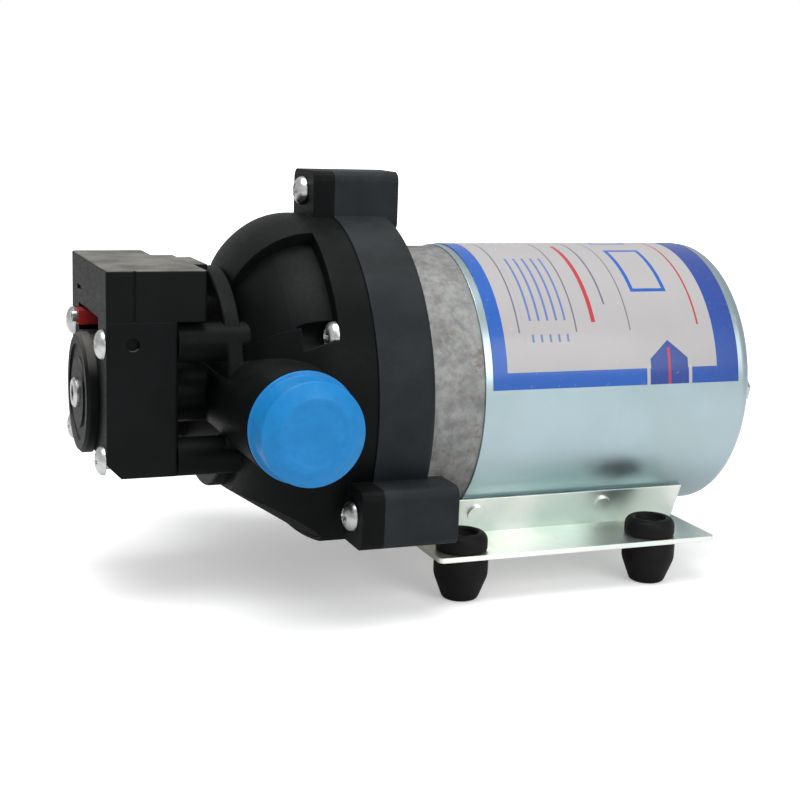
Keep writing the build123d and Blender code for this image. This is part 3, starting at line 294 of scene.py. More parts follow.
# %% Cast metal
def cast_metal(name, shade, stain_share, roughness=0.55):
    finish = Finish(name, metallic=0.55)
    mottle = finish.noise(0.35, 5.0, 0.65)
    grains = finish.noise(1.3, 4.0, 0.6)
    rounded = finish.round_edges(0.4)
    broad = finish.noise(0.09, 3.0, 0.5, finish.stretched(x=0.5))
    spots = finish.noise(0.62, 2.0, 0.4)
    colour = finish.blend(finish.ease(mottle, 0.28, 0.72), tuple(0.55 * c for c in shade), shade)
    stained = tuple(0.45 * c for c in shade)
    colour = finish.blend(finish.ease(broad, 0.40, 0.65) * 0.5, colour, stained)
    colour = finish.blend(finish.ease(spots, 0.50, 0.72) * 0.3, colour, (0.30, 0.36, 0.31))
    rust = finish.ease(finish.noise(0.45, 4.0, 0.7), 0.52, 0.70) * finish.ease(broad, 0.35, 0.55)
    colour = finish.blend(rust * stain_share, colour, (0.160, 0.108, 0.090))
    colour = finish.blend(finish.edges(rounded) * 0.5, colour, (0.6, 0.6, 0.58))
    finish.set(Base_Color=colour, Roughness=roughness + grains * 0.15)
    finish.bump(grains * 0.7 + mottle * 0.3, 0.10, rounded)
    return finish.material


bell_metal = cast_metal("bell_metal", (0.290, 0.295, 0.290), 1.0)
hub_metal = cast_metal("hub_metal", (0.5, 0.5, 0.5), 0.15, 0.45)
print("cast metals ready")

# %% [markdown]
# The smaller finishes share one recipe: a cloud moves the colour between two shades, a finer
# noise moves the gloss, and a little relief breaks up the highlights. Only the numbers differ,
# so a single function makes rubber, soft blue plastic, steel, copper and the rest.

# %% The smaller finishes
def plain_finish(
    name, dark, pale, roughness, metallic=0.0, grain=1.0, depth=0.01, lines=None, edge=0.0, **fixed
):
    finish = Finish(name, metallic=metallic, **fixed)
    place = finish.stretched(*lines) if lines else None
    clouds = finish.noise(0.25, 3.0)
    fine = finish.noise(grain, 3.0, 0.55, place)
    rounded = finish.round_edges(0.25)
    colour = finish.blend(finish.ease(clouds * 0.6 + fine * 0.4, 0.3, 0.7), dark, pale)
    # Paler edges: partly wear, and partly a painted highlight along rims and edges.
    if edge:
        wear_and_highlight_shade = tuple(min(1.0, 1.5 * c + 0.04) for c in pale)
        colour = finish.blend(finish.edges(rounded) * edge, colour, wear_and_highlight_shade)
    finish.set(Base_Color=colour, Roughness=roughness + finish.ease(fine, 0.3, 0.7) * 0.12)
    finish.bump(fine, depth, rounded)
    return finish.material


rubber = plain_finish(
    "foot_rubber", (0.003, 0.003, 0.003), (0.006, 0.006, 0.0058), 0.50, grain=3.0, depth=0.02,
    edge=0.3, Specular_IOR_Level=0.12,
)
# The cap's pale rim line is a painted highlight.
cap_blue = plain_finish(
    "cap_blue", (0.003, 0.150, 0.39), (0.005, 0.178, 0.45), 0.36, grain=0.8, edge=0.9,
    Specular_IOR_Level=0.25,
)
screw_steel = plain_finish(
    "screw_steel", (0.40, 0.41, 0.41), (0.62, 0.63, 0.62), 0.25, 1.0, 0.8, 0.003, edge=0.3
)
bright_steel = plain_finish(
    "bright_steel", (0.66, 0.67, 0.69), (0.80, 0.81, 0.83), 0.12, 1.0, 1.5, 0.002
)
core_steel = plain_finish(
    "core_steel", (0.20, 0.20, 0.21), (0.34, 0.34, 0.35), 0.38, 1.0, 1.0, 0.04, (3.0, 0.15, 0.15)
)
copper = plain_finish(
    "winding_copper", (0.42, 0.15, 0.06), (0.72, 0.32, 0.15), 0.34, 1.0, 1.0, 0.08, (0.3, 2.2, 2.2)
)
brass = plain_finish(
    "terminal_brass", (0.52, 0.38, 0.16), (0.72, 0.56, 0.28), 0.30, 1.0, 2.0, edge=0.3
)
magnet_grey = plain_finish(
    "magnet_grey", (0.035, 0.035, 0.037), (0.07, 0.07, 0.072), 0.6, grain=2.0, depth=0.03
)
white_plastic = plain_finish(
    "white_plastic", (0.64, 0.63, 0.58), (0.76, 0.75, 0.70), 0.42, depth=0.008
)
# The sleeve's red is darkened to paint in the shade that it sits in.
red_sleeve = plain_finish(
    "red_sleeve", (0.20, 0.008, 0.006), (0.30, 0.014, 0.011), 0.40, grain=1.2, edge=0.2,
    Specular_IOR_Level=0.25,
)
print("smaller finishes ready")

# %% [markdown]
# The label is a printed film round the can. Its print follows the can, so the pattern needs two
# measures: how far along X a point lies, and its angle round the axis from the top. Boxes in
# those two measures draw the blue border, the pointed block and plain ruled lines.

# %% Printed label
label_blue, label_cream = (0.010, 0.080, 0.35), (0.355, 0.345, 0.350)
label_red, label_ink = (0.36, 0.032, 0.042), (0.07, 0.07, 0.11)


def printed_film():
    finish = Finish("label_film", Coat_Weight=0.22, Coat_Roughness=0.12, Specular_IOR_Level=0.3)
    along = finish.part(finish.place, 0) / mm
    side = finish.part(finish.place, 1) / -mm
    height = finish.part(finish.place, 2) / mm - axis_height
    turned = finish.node("ShaderNodeMath", {"operation": "ARCTAN2"}, {0: side, 1: height})
    angle = turned * degrees(1)

    def within(value, low, high):
        return finish.node(
            "ShaderNodeMath", {"operation": "COMPARE"},
            {0: value, 1: (low + high) / 2, 2: (high - low) / 2},
        )

    def area(x0, x1, a0, a1):
        """1 inside a box from x0 to x1 millimetres along and from a0 to a1 degrees round."""
        return within(along, x0, x1) * within(angle, a0, a1)

    clouds = finish.noise(0.08, 3.0)
    scuffs = finish.noise(0.9, 4.0, 0.65)
    colour = finish.blend(clouds, label_cream, tuple(0.9 * c for c in label_cream))
    deep_blue = tuple(share * c for share, c in zip((1.6, 0.55, 0.62), label_blue))
    border_blue = finish.blend(finish.ease(along - angle * 0.3, -10.0, 40.0), label_blue, deep_blue)
    for x0, x1, a0, a1 in (
        (-12.5, -12.1, -48, 62), (2.6, 3.0, -48, 62), (11.6, 12.1, -48, 50), (17.2, 17.5, -48, 62),
    ):
        colour = finish.blend(area(x0, x1, a0, a1) * 0.8, colour, label_ink)
    for x0, x1, a0, a1 in ((7.2, 8.3, 8, 58), (36.2, 36.7, -50, 60)):
        colour = finish.blend(area(x0, x1, a0, a1), colour, label_red)
    rows = finish.node("ShaderNodeMath", {"operation": "PINGPONG"}, {0: along + 40.0, 1: 1.15})
    streaks = finish.noise(0.16, 0.0, place=finish.stretched(x=0.001))
    ruled = (rows > 0.86) * finish.ease(streaks, 0.40, 0.44)
    for a0, a1 in ((22, 66), (-40, 8)):
        colour = finish.blend(area(-11.0, 0.5, a0, a1) * ruled * 0.75, colour, label_blue)
    line_x, line_turn = 1.0, 1.7
    for x0, x1, a0, a1 in ((20.5, 30.5, 14, 44), (20.5, 30.5, -36, 4)):
        inside = area(x0 + line_x, x1 - line_x, a0 + line_turn, a1 - line_turn)
        colour = finish.blend(area(x0, x1, a0, a1) * (1 - inside), colour, label_blue)

    # The pointed block: a box, and above it a triangle that narrows to a tip.
    block_middle, block_half, margin, margin_line = 27.1, 5.2, 6.3, 0.9
    tip, shoulder, foot, film_edge = 66.4, 74.0, 84.5, 84.6
    block_start, block_end = block_middle - block_half, block_middle + block_half
    off_middle = finish.node("ShaderNodeMath", {"operation": "ABSOLUTE"}, {0: along - block_middle})
    roof = (angle - tip) * (block_half / (shoulder - tip)) > off_middle
    point = finish.node(
        "ShaderNodeMath", {"operation": "MAXIMUM"},
        {0: area(block_start, block_end, shoulder, foot),
         1: within(angle, tip, shoulder + 0.1) * roof},
    )
    border = area(-16.4, 40.5, -55.3, 77.8)
    left, right_side = block_middle - margin, block_middle + margin
    gaps = (
        area(left, left + margin_line, 76.5, film_edge)
        + area(right_side - margin_line, right_side, 76.5, film_edge)
        + area(left, right_side, 76.5, 78.0)
    )
    colour = finish.blend(1 - border, colour, border_blue)
    colour = finish.blend(gaps, colour, label_cream)
    colour = finish.blend(point, colour, deep_blue)
    colour = finish.blend(area(26.75, 27.45, 69.5, film_edge), colour, label_red)
    colour = finish.blend(finish.ease(scuffs, 0.62, 0.78) * 0.22, colour, (0.60, 0.62, 0.66))
    finish.set(Base_Color=colour, Roughness=0.34 + finish.ease(scuffs, 0.4, 0.7) * 0.15)
    finish.bump(finish.noise(0.5, 2.0), 0.012)
    return finish.material


label_film = printed_film()
print("label printed")

# %% [markdown]
# Each solid of the frame now gets its finish. The table goes by finish, with the names of the
# solids that wear it, so a glance shows what is made of what, and a missing name is printed.

# %% Dress the solids
worn = {
    head_plastic: ("pump_head", "brush_card"),
    housing_plastic: ("drive_housing",),
    switch_plastic: ("switch_body", "switch_cover", "switch_cap", "microswitch"),
    can_zinc: ("motor_can",),
    plate_zinc: ("base_plate", "motor_cradle"),
    bell_metal: ("motor_front_bell",),
    hub_metal: ("cam_hub", "wobble_plate"),
    label_film: ("label",),
    rubber: (
        "rubber_feet", "pump_diaphragm", "inlet_valves", "outlet_valve", "head_seal",
        "switch_diaphragm",
    ),
    cap_blue: ("port_cap_near", "port_cap_far"),
    screw_steel: (
        "tie_bolts", "brush_springs", "motor_screws", "cam_set_screw", "piston_screws",
        "head_screws", "adjusting_screw", "switch_spring", "switch_screws", "push_on_terminal",
    ),
    bright_steel: (
        "front_bearing_outer", "front_bearing_inner", "front_bearing_balls",
        "wobble_bearing_outer", "wobble_bearing_inner", "wobble_bearing_balls",
    ),
    core_steel: ("armature_core", "motor_shaft"),
    copper: ("windings", "commutator"),
    brass: ("rear_bush", "terminal_blades"),
    magnet_grey: ("magnets", "brushes"),
    white_plastic: (
        "pistons", "valve_plate", "spring_cup", "switch_plunger", "microswitch_button",
    ),
    red_sleeve: ("terminal_sleeve",),
}
dressed = set()
for material, names in worn.items():
    for name in names:
        for place in frame["nodes"][name].material_slots:
            place.material = material
        dressed.add(name)
print("dressed", len(dressed), "left", sorted(set(frame["nodes"]) - dressed))

# %% [markdown]
# Round pieces come from a profile turned about a line, as on a lathe. A profile drawn with sharp
# corners looks cut from card, so each corner is first replaced by a short curve. A profile that
# starts and ends on the line closes in a single point there, and any other one is a closed loop.

# %% Turned pieces
def softened(points, reach, steps=4, closed=False):
    """The profile with each corner replaced by a curve that starts and ends up to reach away."""
    count = len(points)
    out = []
    for i, here in enumerate(points):
        if not closed and i in (0, count - 1):
            out.append(here)
            continue
        here, before, after = (Vector(p) for p in (here, points[i - 1], points[(i + 1) % count]))
        start = here + (before - here).normalized() * min(reach, (before - here).length * 0.45)
        end = here + (after - here).normalized() * min(reach, (after - here).length * 0.45)
        for k in range(steps + 1):
            t = k / steps
            out.append(tuple(start * (1 - t) ** 2 + here * 2 * t * (1 - t) + end * t * t))
    return out


def turned_mesh(name, profile, sides, centre, along, closed=False):
    """Turns (distance along, radius) points about a line through centre, in millimetres."""
    along = Vector(along).normalized()
    across = along.orthogonal().normalized()
    third = along.cross(across)
    shape = bmesh.new()
    rings = []
    for distance, radius in profile:
        middle = Vector(centre) + along * distance
        if radius < 1e-6:
            rings.append([shape.verts.new(middle * mm)])
            continue
        angles = [2 * pi * k / sides for k in range(sides)]
        rings.append([
            shape.verts.new((middle + (across * cos(a) + third * sin(a)) * radius) * mm)
            for a in angles
        ])
    pairs = list(zip(rings, rings[1:] + rings[:1])) if closed else list(zip(rings, rings[1:]))
    for first, second in pairs:
        for k in range(sides):
            loop = [first[k % len(first)], first[(k + 1) % len(first)],
                    second[(k + 1) % len(second)], second[k % len(second)]]
            corners = list(dict.fromkeys(loop))
            if len(corners) > 2:
                shape.faces.new(corners)
    bmesh.ops.recalc_face_normals(shape, faces=shape.faces)
    mesh = bpy.data.meshes.new(name)
    shape.to_mesh(mesh)
    shape.free()
    mesh.shade_smooth()
    return mesh


def keep(name, mesh, material, body, slot, *replaced):
    """Makes a finished piece that rides on a body, where one is named, and may stand for solids."""
    if not mesh.materials:
        mesh.materials.append(material)
    piece = bpy.data.objects.new(name, mesh)
    bpy.context.collection.objects.link(piece)
    if body:
        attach(piece, body)
    if replaced:
        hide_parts(*replaced)
    print(name, len(mesh.polygons), "faces on", body or "two bodies")
    return piece


# %% [markdown]
# The port caps are soft blue plugs pushed over the threads for transport. A rim, a straight wall
# and a sloped shoulder lead to a flat face that is a touch lower in the middle. The wall is thin,
# so the profile also runs back inside, and a pulled cap shows its hollow.

# %% Port caps
for side, body, name in ((-1, "near_cap", "port_cap_near"), (1, "far_cap", "port_cap_far")):
    low, high = (Vector(corner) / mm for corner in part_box(name))
    rim = (high.x - low.x) / 2
    start, end = sorted((abs(low.y), abs(high.y)))
    wall, outer, face = 0.6, rim - 0.95, rim - 4.2
    rim_width, dip, end_wall, shoulder = 0.9, 0.2, 1.2, 1.8
    profile = softened([
        (end - end_wall, 0), (end - end_wall, face - wall), (end - shoulder, outer - wall),
        (start, outer - wall), (start, rim), (start + rim_width, rim),
        (start + rim_width + 0.2, outer), (end - shoulder, outer), (end, face),
        (end, face - 1.1), (end - dip, face - 1.9), (end - dip, 0),
    ], 0.3, steps=3)
    centre = ((low.x + high.x) / 2, 0, axis_height)
    cap = turned_mesh(f"soft_{body}", profile, 96, centre, (0, side, 0))
    keep(f"soft_{body}", cap, cap_blue, body, "blue_plastic", name)

# %% [markdown]
# Geometry Nodes place what repeats. The tree below takes a piece and puts it on every point of a
# mesh, turned the same way, then makes the copies real and gives them their finish, because the
# export drops copies that only exist as instances. Its inputs are named, and they are set by the
# socket's identifier before the result is worked out.

# %% A tree that repeats a piece on points
def repeat_tree():
    tree = bpy.data.node_groups.new("repeat_on_points", "GeometryNodeTree")
    sockets = tree.interface
    sockets.new_socket("Geometry", in_out="INPUT", socket_type="NodeSocketGeometry")
    sockets.new_socket("Piece", in_out="INPUT", socket_type="NodeSocketObject")
    sockets.new_socket("Turn", in_out="INPUT", socket_type="NodeSocketRotation")
    sockets.new_socket("Size", in_out="INPUT", socket_type="NodeSocketFloat").default_value = 1.0
    sockets.new_socket("Finish", in_out="INPUT", socket_type="NodeSocketMaterial")
    sockets.new_socket("Geometry", in_out="OUTPUT", socket_type="NodeSocketGeometry")
    nodes, links = tree.nodes, tree.links
    start, end = nodes.new("NodeGroupInput"), nodes.new("NodeGroupOutput")
    info = nodes.new("GeometryNodeObjectInfo")
    place = nodes.new("GeometryNodeInstanceOnPoints")
    real = nodes.new("GeometryNodeRealizeInstances")
    paint = nodes.new("GeometryNodeSetMaterial")
    info.inputs["As Instance"].default_value = True
    links.new(start.outputs["Piece"], info.inputs["Object"])
    links.new(start.outputs["Geometry"], place.inputs["Points"])
    links.new(info.outputs["Geometry"], place.inputs["Instance"])
    links.new(start.outputs["Turn"], place.inputs["Rotation"])
    links.new(start.outputs["Size"], place.inputs["Scale"])
    links.new(place.outputs["Instances"], real.inputs["Geometry"])
    links.new(real.outputs["Geometry"], paint.inputs["Geometry"])
    links.new(start.outputs["Finish"], paint.inputs["Material"])
    links.new(paint.outputs["Geometry"], end.inputs["Geometry"])
    return tree


def grown_mesh(name, tree, points, **values):
    """The plain mesh that a tree makes on points in millimetres, with its inputs set by name."""
    seed = bpy.data.meshes.new(f"{name}_points")
    seed.from_pydata([tuple(c * mm for c in p) for p in points], [], [])
    carrier = bpy.data.objects.new(f"{name}_carrier", seed)
    bpy.context.collection.objects.link(carrier)
    modifier = carrier.modifiers.new("grow", "NODES")
    modifier.node_group = tree
    for item in tree.interface.items_tree:
        if item.item_type == "SOCKET" and item.in_out == "INPUT" and item.name in values:
            modifier[item.identifier] = values[item.name]
    ready = carrier.evaluated_get(bpy.context.evaluated_depsgraph_get())
    mesh = bpy.data.meshes.new_from_object(ready)
    bpy.data.objects.remove(carrier)
    mesh.name = name
    return mesh


def pattern_object(mesh):
    """A piece that only serves as the pattern for copies."""
    pattern = bpy.data.objects.new(f"{mesh.name}_pattern", mesh)
    bpy.context.collection.objects.link(pattern)
    return pattern


repeat = repeat_tree()

# %% [markdown]
# Four rubber feet carry the plate. Each is one moulding: a tapered body below, a neck through the
# plate, and a rounded collar above with a hole for the fixing screw. One foot is turned, and the
# tree copies it to the four corners.

# %% Rubber feet
plate_low, plate_high, foot_top, cup_floor = 10.7, 11.9, 16.3, 14.8
foot_bore, foot_toe, foot_body, foot_neck, foot_collar = 2.4, 4.2, 6.5, 4.7, 6.2
foot_profile = softened([
    (0, foot_bore), (0, foot_toe), (6.0, foot_body), (plate_low, foot_body), (plate_low, foot_neck),
    (plate_high, foot_neck), (plate_high, foot_collar), (foot_top - 1.3, foot_collar),
    (foot_top, 5.2), (foot_top, 3.8), (cup_floor, 3.5), (cup_floor, foot_bore),
], 0.9, closed=True)
foot = pattern_object(turned_mesh("one_foot", foot_profile, 48, (0, 0, 0), (0, 0, 1), closed=True))
foot_x, foot_y = 25.5, 31.6
corners = [(x, y, 0) for x in (-foot_x, foot_x) for y in (-foot_y, foot_y)]
feet = grown_mesh("moulded_feet", repeat, corners, Piece=foot, Finish=rubber, Size=1.0)
bpy.data.objects.remove(foot)
keep("moulded_feet", feet, rubber, "pump", "black_rubber", "rubber_feet")

# %% [markdown]
# The screws have domed heads with a cross recess. The head and its shank are turned in one, and
# the cross is cut with a tapered plug, as the driver's tip is shaped. The tree then sets the same
# screw at every seat: five hold the head, and four hold the switch on its columns. A seat in the
# list has the place along X, across, and up from the pump's axis, as the solids have it.

# %% A screw with a cross recess
def cross_plug(half_length, half_width, depth, taper=0.55):
    """A plus shape that narrows with depth, standing on X = 0 and pointing along +X."""
    a, b = half_width, half_length
    outline = [(a, a), (b, a), (b, -a), (a, -a), (a, -b), (-a, -b),
               (-a, -a), (-b, -a), (-b, a), (-a, a), (-a, b), (a, b)]
    shape = bmesh.new()
    wide = [shape.verts.new((-0.5 * mm, y * mm, z * mm)) for y, z in outline]
    narrow = [shape.verts.new((depth * mm, y * taper * mm, z * taper * mm)) for y, z in outline]
    shape.faces.new(wide)
    shape.faces.new(list(reversed(narrow)))
    for k in range(len(outline)):
        after = (k + 1) % len(outline)
        shape.faces.new((wide[k], wide[after], narrow[after], narrow[k]))
    bmesh.ops.recalc_face_normals(shape, faces=shape.faces)
    mesh = bpy.data.meshes.new("cross_plug")
    shape.to_mesh(mesh)
    shape.free()
    return mesh


def crossed_screw(name, head_radius, head_height, shank_radius, shank_length):
    """A screw whose head stands before X = 0 and whose shank runs along +X."""
    dome = [(-head_height * share, head_radius * sqrt(max(0.0, 1 - share ** 2.6)))
            for share in (1, 0.995, 0.97, 0.92, 0.84, 0.72, 0.55, 0.35)]
    rim_height, rim_lip, tip_length, tip_step = 0.12, 0.1, 0.6, 0.5
    profile = dome + [
        (-rim_height, head_radius), (0, head_radius - rim_lip), (0, shank_radius),
        (shank_length - tip_length, shank_radius), (shank_length, shank_radius - tip_step),
        (shank_length, 0),
    ]
    mesh = turned_mesh(name, profile, 48, (0, 0, 0), (1, 0, 0))
    screw = pattern_object(mesh)
    plug = pattern_object(cross_plug(0.62 * head_radius, 0.16 * head_radius, 0.62 * head_height))
    plug.location.x = -head_height * mm
    cut = screw.modifiers.new("cross", "BOOLEAN")
    cut.operation, cut.solver, cut.object = "DIFFERENCE", "EXACT", plug
    ready = screw.evaluated_get(bpy.context.evaluated_depsgraph_get())
    crossed = bpy.data.meshes.new_from_object(ready)
    for helper in (screw, plug):
        bpy.data.objects.remove(helper)
    crossed.name = f"{name}_crossed"
    crossed.shade_smooth()
    crossed.set_sharp_from_angle(angle=radians(40))
    return pattern_object(crossed)


# %% Screws in the head and the switch
flange_x, lobe_x = -59.3, -56.4
head_radius, head_height, shank_radius, shank_length = 3.38, 2.5, 2.0, 17.0
circle, circle_angle = 38.3, radians(63.5)
tower_up, lobe_across, lobe_down = 46.9, 41.0, 22.3
seats = [(lobe_x, 0, tower_up)]
for side in (-1, 1):
    seats.append((flange_x, side * circle * sin(circle_angle), circle * cos(circle_angle)))
    seats.append((lobe_x, side * lobe_across, -lobe_down))
screw = crossed_screw("head_screw", head_radius, head_height, shank_radius, shank_length)
spots = [(x, y, axis_height + z) for x, y, z in seats]
head_set = grown_mesh(
    "domed_head_screws", repeat, spots, Piece=screw, Finish=screw_steel, Size=1.0
)
bpy.data.objects.remove(screw)
keep("domed_head_screws", head_set, screw_steel, "pump", "screw_steel", "head_screws")

low, high = (Vector(corner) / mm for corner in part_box("switch_screws"))
block_face, hair = -107.6, 0.02
screw = crossed_screw(
    "switch_screw", head_radius, block_face - low.x, shank_radius, high.x - block_face
)
edge = head_radius + hair
columns = [(y, z) for y in (low.y + edge, high.y - edge) for z in (low.z + edge, high.z - edge)]
spots = [(block_face, y, z) for y, z in columns]
switch_set = grown_mesh(
    "domed_switch_screws", repeat, spots, Piece=screw, Finish=screw_steel, Size=1.0
)
bpy.data.objects.remove(screw)
keep("domed_switch_screws", switch_set, screw_steel, "pump", "screw_steel", "switch_screws")

# %% [markdown]
# Springs are wire wound on a rod. A spiral curve with a round section along it is just that, and
# Geometry Nodes hold both, so the turns, the radius, the length and the wire are inputs. The
# pressure spring is pressed from both ends: the cup's screw sets it, and the plunger works against
# it. It is wound in two parts, with two thirds and one third of the turns, which meet between its
# two ends. Both parts stay fixed in place.

# %% Springs
def spring_tree():
    tree = bpy.data.node_groups.new("wound_spring", "GeometryNodeTree")
    sockets = tree.interface
    sockets.new_socket("Geometry", in_out="INPUT", socket_type="NodeSocketGeometry")
    for name in ("Turns", "Radius", "Length", "Wire"):
        sockets.new_socket(name, in_out="INPUT", socket_type="NodeSocketFloat")
    sockets.new_socket("Turn", in_out="INPUT", socket_type="NodeSocketRotation")
    sockets.new_socket("Finish", in_out="INPUT", socket_type="NodeSocketMaterial")
    sockets.new_socket("Geometry", in_out="OUTPUT", socket_type="NodeSocketGeometry")
    nodes, links = tree.nodes, tree.links
    start, end = nodes.new("NodeGroupInput"), nodes.new("NodeGroupOutput")
    coil = nodes.new("GeometryNodeCurveSpiral")
    section = nodes.new("GeometryNodeCurvePrimitiveCircle")
    sweep = nodes.new("GeometryNodeCurveToMesh")
    place = nodes.new("GeometryNodeInstanceOnPoints")
    real = nodes.new("GeometryNodeRealizeInstances")
    paint = nodes.new("GeometryNodeSetMaterial")
    coil.inputs["Resolution"].default_value = 24
    section.inputs["Resolution"].default_value = 10
    sweep.inputs["Fill Caps"].default_value = True
    links.new(start.outputs["Turns"], coil.inputs["Rotations"])
    links.new(start.outputs["Radius"], coil.inputs["Start Radius"])
    links.new(start.outputs["Radius"], coil.inputs["End Radius"])
    links.new(start.outputs["Length"], coil.inputs["Height"])
    links.new(start.outputs["Wire"], section.inputs["Radius"])
    links.new(coil.outputs["Curve"], sweep.inputs["Curve"])
    links.new(section.outputs["Curve"], sweep.inputs["Profile Curve"])
    links.new(start.outputs["Geometry"], place.inputs["Points"])
    links.new(sweep.outputs["Mesh"], place.inputs["Instance"])
    links.new(start.outputs["Turn"], place.inputs["Rotation"])
    links.new(place.outputs["Instances"], real.inputs["Geometry"])
    links.new(real.outputs["Geometry"], paint.inputs["Geometry"])
    links.new(start.outputs["Finish"], paint.inputs["Material"])
    links.new(paint.outputs["Geometry"], end.inputs["Geometry"])
    return tree


def wound_spring(name, spots, turns, radius, length, wire, towards):
    tilt = Vector((0, 0, 1)).rotation_difference(Vector(towards)).to_euler()
    mesh = grown_mesh(
        name, springs, spots, Turns=turns, Radius=(radius - wire) * mm,
        Length=(length - 2 * wire) * mm, Wire=wire * mm, Turn=tuple(tilt), Finish=screw_steel,
    )
    mesh.shade_smooth()
    return mesh


springs = spring_tree()
wire, spring_radius, outer_turns, inner_turns = 0.45, 5.6, 3.0, 1.5
spring_start, spring_end = (corner[0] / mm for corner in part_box("switch_spring"))
pitch = (spring_end - spring_start - 2 * wire) / (outer_turns + inner_turns)
meeting = spring_start + wire + pitch * outer_turns
for name, turns, ends, bodies in (
    ("outer_pressure_spring", outer_turns, (spring_start, meeting - wire), ("cup", "pump")),
    ("inner_pressure_spring", inner_turns, (meeting + wire, spring_end), ("pump", "plunger")),
):
    first = spring_start + wire if turns == outer_turns else meeting
    part_length = pitch * turns + 2 * wire
    coil = wound_spring(
        name, [(first, 0, axis_height)], turns, spring_radius, part_length, wire, (1, 0, 0)
    )
    part = keep(name, coil, screw_steel, None, "screw_steel", "switch_spring")
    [(x * mm, 0, axis_height * mm) for x in ends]
    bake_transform(part)
    print(name, "bends between", bodies)

# %% [markdown]
# The two carbon brushes are pressed on the commutator by smaller springs of the same kind, one
# pointing up and one pointing down. The tree turns all its copies the same way, so each spring is
# made on its own, and then both are joined into one piece that stands for the brush springs.

# %% Brush springs
brush_low, brush_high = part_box("brush_springs")
brush_x = (brush_low[0] + brush_high[0]) / 2 / mm
brush_start, brush_end = 14.69, brush_high[2] / mm - axis_height
brush_turns, brush_radius, brush_wire = 5, 1.9, 0.3
joined = bmesh.new()
for side in (-1, 1):
    spot = [(brush_x, 0, axis_height + side * (brush_start + brush_wire))]
    half = wound_spring(
        "brush_half", spot, brush_turns, brush_radius, brush_end - brush_start, brush_wire,
        (0, 0, side),
    )
    joined.from_mesh(half)
mesh = bpy.data.meshes.new("wound_brush_springs")
joined.to_mesh(mesh)
joined.free()
mesh.shade_smooth()
keep("wound_brush_springs", mesh, screw_steel, "pump", "screw_steel", "brush_springs")

# %% [markdown]
# The pumping diaphragm is one rubber sheet, clamped by its rim, with a thick land under each
# piston. The wobble plate rocks the lands by less than a millimetre. A stiff copy of the sheet
# can't follow them, so the lands are a piece of their own that rocks with the plate, and the
# sheet leaves a round opening for each land. The three openings are cut with plain rods.

# %% Pumping diaphragm
piston_circle, land_radius, land_half, screw_hole = 17.5, 8.2, 1.1, 1.6
rim_front, rim_back, rim_inner, rim_outer = -53.2, -51.2, 28.5, 32.35
rock = next(joint for joint in frame["joints"] if joint["name"] == "wobble_spin")
rock_axis, rock_centre = Vector(rock["axis"]), Vector(rock["pos_m"]) / mm
lean = Vector((1, 0, 0)).rotation_difference(rock_axis)
piston_spots = [
    (0, -piston_circle * sin(2 * pi * k / 3), piston_circle * cos(2 * pi * k / 3)) for k in range(3)
]
land_profile = softened([
    (-land_half, screw_hole), (-land_half, land_radius), (land_half, land_radius),
    (land_half, screw_hole),
], 0.7, closed=True)
land = pattern_object(turned_mesh("land", land_profile, 64, (0, 0, 0), (1, 0, 0), closed=True))
lands = grown_mesh(
    "diaphragm_lands", repeat, [rock_centre + lean @ Vector(spot) for spot in piston_spots],
    Piece=land, Turn=tuple(lean.to_euler()), Finish=rubber, Size=1.0,
)
bpy.data.objects.remove(land)
keep("diaphragm_lands", lands, rubber, "wobble", "black_rubber")

sheet_half, bend_room = 0.65, 0.8
front, rear = rock_centre.x - sheet_half, rock_centre.x + sheet_half
sheet_profile = softened([
    (front, 0), (front, rim_inner - 0.6), (rim_front, rim_inner), (rim_front, rim_outer),
    (rim_back, rim_outer), (rim_back, rim_inner), (rear, rim_inner - 0.6), (rear, 0),
], 0.4)
sheet = pattern_object(turned_mesh("sheet", sheet_profile, 128, (0, 0, axis_height), (1, 0, 0)))
rod_half, rod_radius = 5, land_radius + bend_room
rod_profile = [(-rod_half, 0), (-rod_half, rod_radius), (rod_half, rod_radius), (rod_half, 0)]
for spot in piston_spots:
    middle = rock_centre + Vector(spot)
    rod = pattern_object(turned_mesh("rod", rod_profile, 64, middle, (1, 0, 0)))
    opening = sheet.modifiers.new("opening", "BOOLEAN")
    opening.operation, opening.solver, opening.object = "DIFFERENCE", "EXACT", rod
ready = sheet.evaluated_get(bpy.context.evaluated_depsgraph_get())
sheet_mesh = bpy.data.meshes.new_from_object(ready)
for helper in [opening.object for opening in sheet.modifiers] + [sheet]:
    bpy.data.objects.remove(helper)
sheet_mesh.shade_smooth()
sheet_mesh.set_sharp_from_angle(angle=radians(40))
keep("diaphragm_sheet", sheet_mesh, rubber, "pump", "black_rubber", "pump_diaphragm")

# %% [markdown]
# Two long bolts hold the motor together, and their hexagon heads show on the rear. A hexagon is
# a turned shape with six sides, so the same lathe makes the head, and the slope at the end of its
# profile takes off the corners.

# %% Tie bolts
bolt_circle, can_rear, bolt_front = 27.3, 51.0, -33.3
bolt_radius, head_radius, head_height, chamfer = 1.8, 3.35, 2.2, 0.3
head_rear = can_rear + head_height
shank_profile = [(bolt_front, 0), (bolt_front, bolt_radius), (can_rear, bolt_radius), (can_rear, 0)]
head_profile = [
    (can_rear, 0), (can_rear, head_radius), (head_rear - chamfer, head_radius),
    (head_rear, head_radius - 1.5 * chamfer), (head_rear, 0),
]
heads = bmesh.new()
for side in (-1, 1):
    centre = (0, side * bolt_circle, axis_height)
    for name, profile, sides in (("shank", shank_profile, 32), ("hexagon", head_profile, 6)):
        heads.from_mesh(turned_mesh(name, profile, sides, centre, (1, 0, 0)))
mesh = bpy.data.meshes.new("long_bolts")
heads.to_mesh(mesh)
heads.free()
mesh.shade_flat()
keep("long_bolts", mesh, screw_steel, "pump", "screw_steel", "tie_bolts")

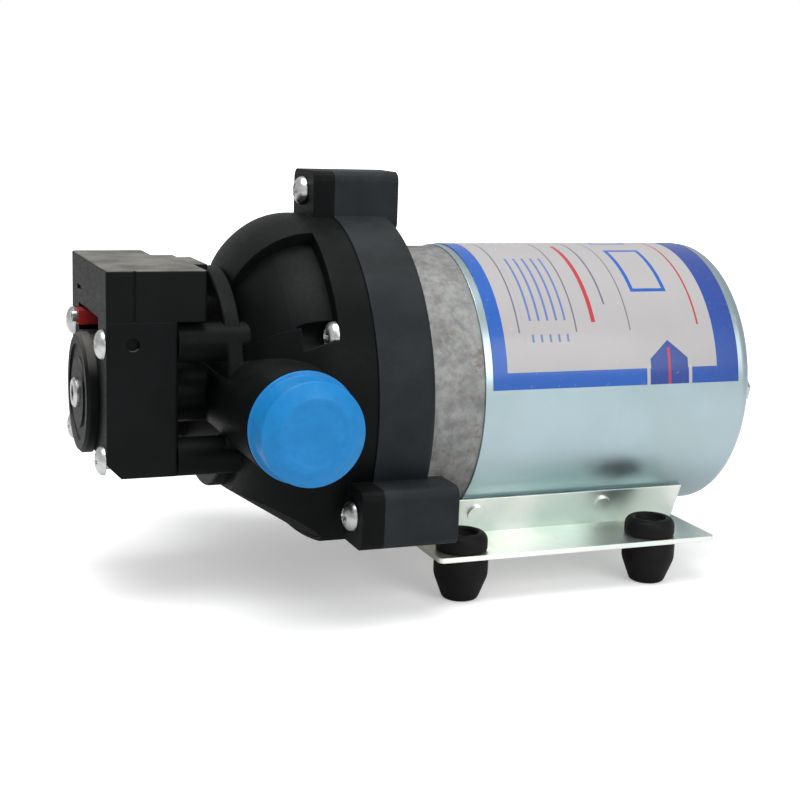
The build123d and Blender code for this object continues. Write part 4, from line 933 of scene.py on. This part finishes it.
# %% [markdown]
# The floor is plain and pale. To the camera it also glows a little, so that it reaches white
# while its light on the pump stays plain, and the pump's soft shadow still shows. The background
# is done the same way: white to the camera, and dimmer as a light.

# %% Floor and background
floor_mesh = bpy.data.meshes.new("floor")
reach, floor_height = 4.0, -0.00002
floor_corners = [(-reach, -reach), (reach, -reach), (reach, reach), (-reach, reach)]
floor_mesh.from_pydata([(x, y, floor_height) for x, y in floor_corners], [], [(0, 1, 2, 3)])
floor = bpy.data.objects.new("floor", floor_mesh)
bpy.context.collection.objects.link(floor)
paper = Finish("floor_paper", roughness=0.9, Specular_IOR_Level=0.0)
mottle = paper.noise(0.02, 2.0)
paper.set(Base_Color=paper.blend(mottle, (0.80, 0.80, 0.80), (0.82, 0.82, 0.82)))
seen = paper.node("ShaderNodeLightPath", output="Is Camera Ray")
away = paper.node("ShaderNodeVectorMath", {"operation": "LENGTH"}, {0: paper.place}, output="Value")
glow = 0.34 + paper.ease(away, 0.25, 0.9) * 0.9  # the far floor melts into the background
paper.set(Emission_Color=(1, 1, 1), Emission_Strength=seen * glow)
floor_mesh.materials.append(paper.material)

world = bpy.data.worlds.new("studio")
bpy.context.scene.world = world
world.use_nodes = True
sky = world.node_tree.nodes["Background"]
path = world.node_tree.nodes.new("ShaderNodeLightPath")
to_camera = world.node_tree.nodes.new("ShaderNodeMix")
light_level, white = 0.62, 1.0
to_camera.inputs["A"].default_value, to_camera.inputs["B"].default_value = light_level, white
world.node_tree.links.new(path.outputs["Is Camera Ray"], to_camera.inputs["Factor"])
world.node_tree.links.new(to_camera.outputs["Result"], sky.inputs["Strength"])
sky.inputs["Color"].default_value = (1, 1, 1, 1)
print("floor and background ready")

# %% [markdown]
# Soft boxes light the pump as on a studio table. The stronger one hangs above and a little to the
# left, which gives the bright switch top, and the other fills the near side. Large lamps make
# soft shadows, and long gentle highlights on the black plastic and the can.

# %% Lamps
def soft_box(name, place, aim, size, power):
    lamp = bpy.data.lights.new(name, "AREA")
    lamp.shape, lamp.size, lamp.size_y, lamp.energy = "RECTANGLE", *size, power
    holder = bpy.data.objects.new(name, lamp)
    bpy.context.collection.objects.link(holder)
    towards = Vector(aim) - Vector(place)
    facing = towards.to_track_quat("-Z", "Y").to_matrix().to_4x4()
    holder.matrix_world = Matrix.Translation(place) @ facing


lamp_aim = (-0.02, 0, 0.05)
soft_box("lamp_above", (-0.15, -0.10, 0.75), lamp_aim, (0.55, 0.55), 5.2)
soft_box("lamp_near_side", (0.25, -0.85, 0.45), lamp_aim, (0.6, 0.5), 3.6)
print("lamps ready")
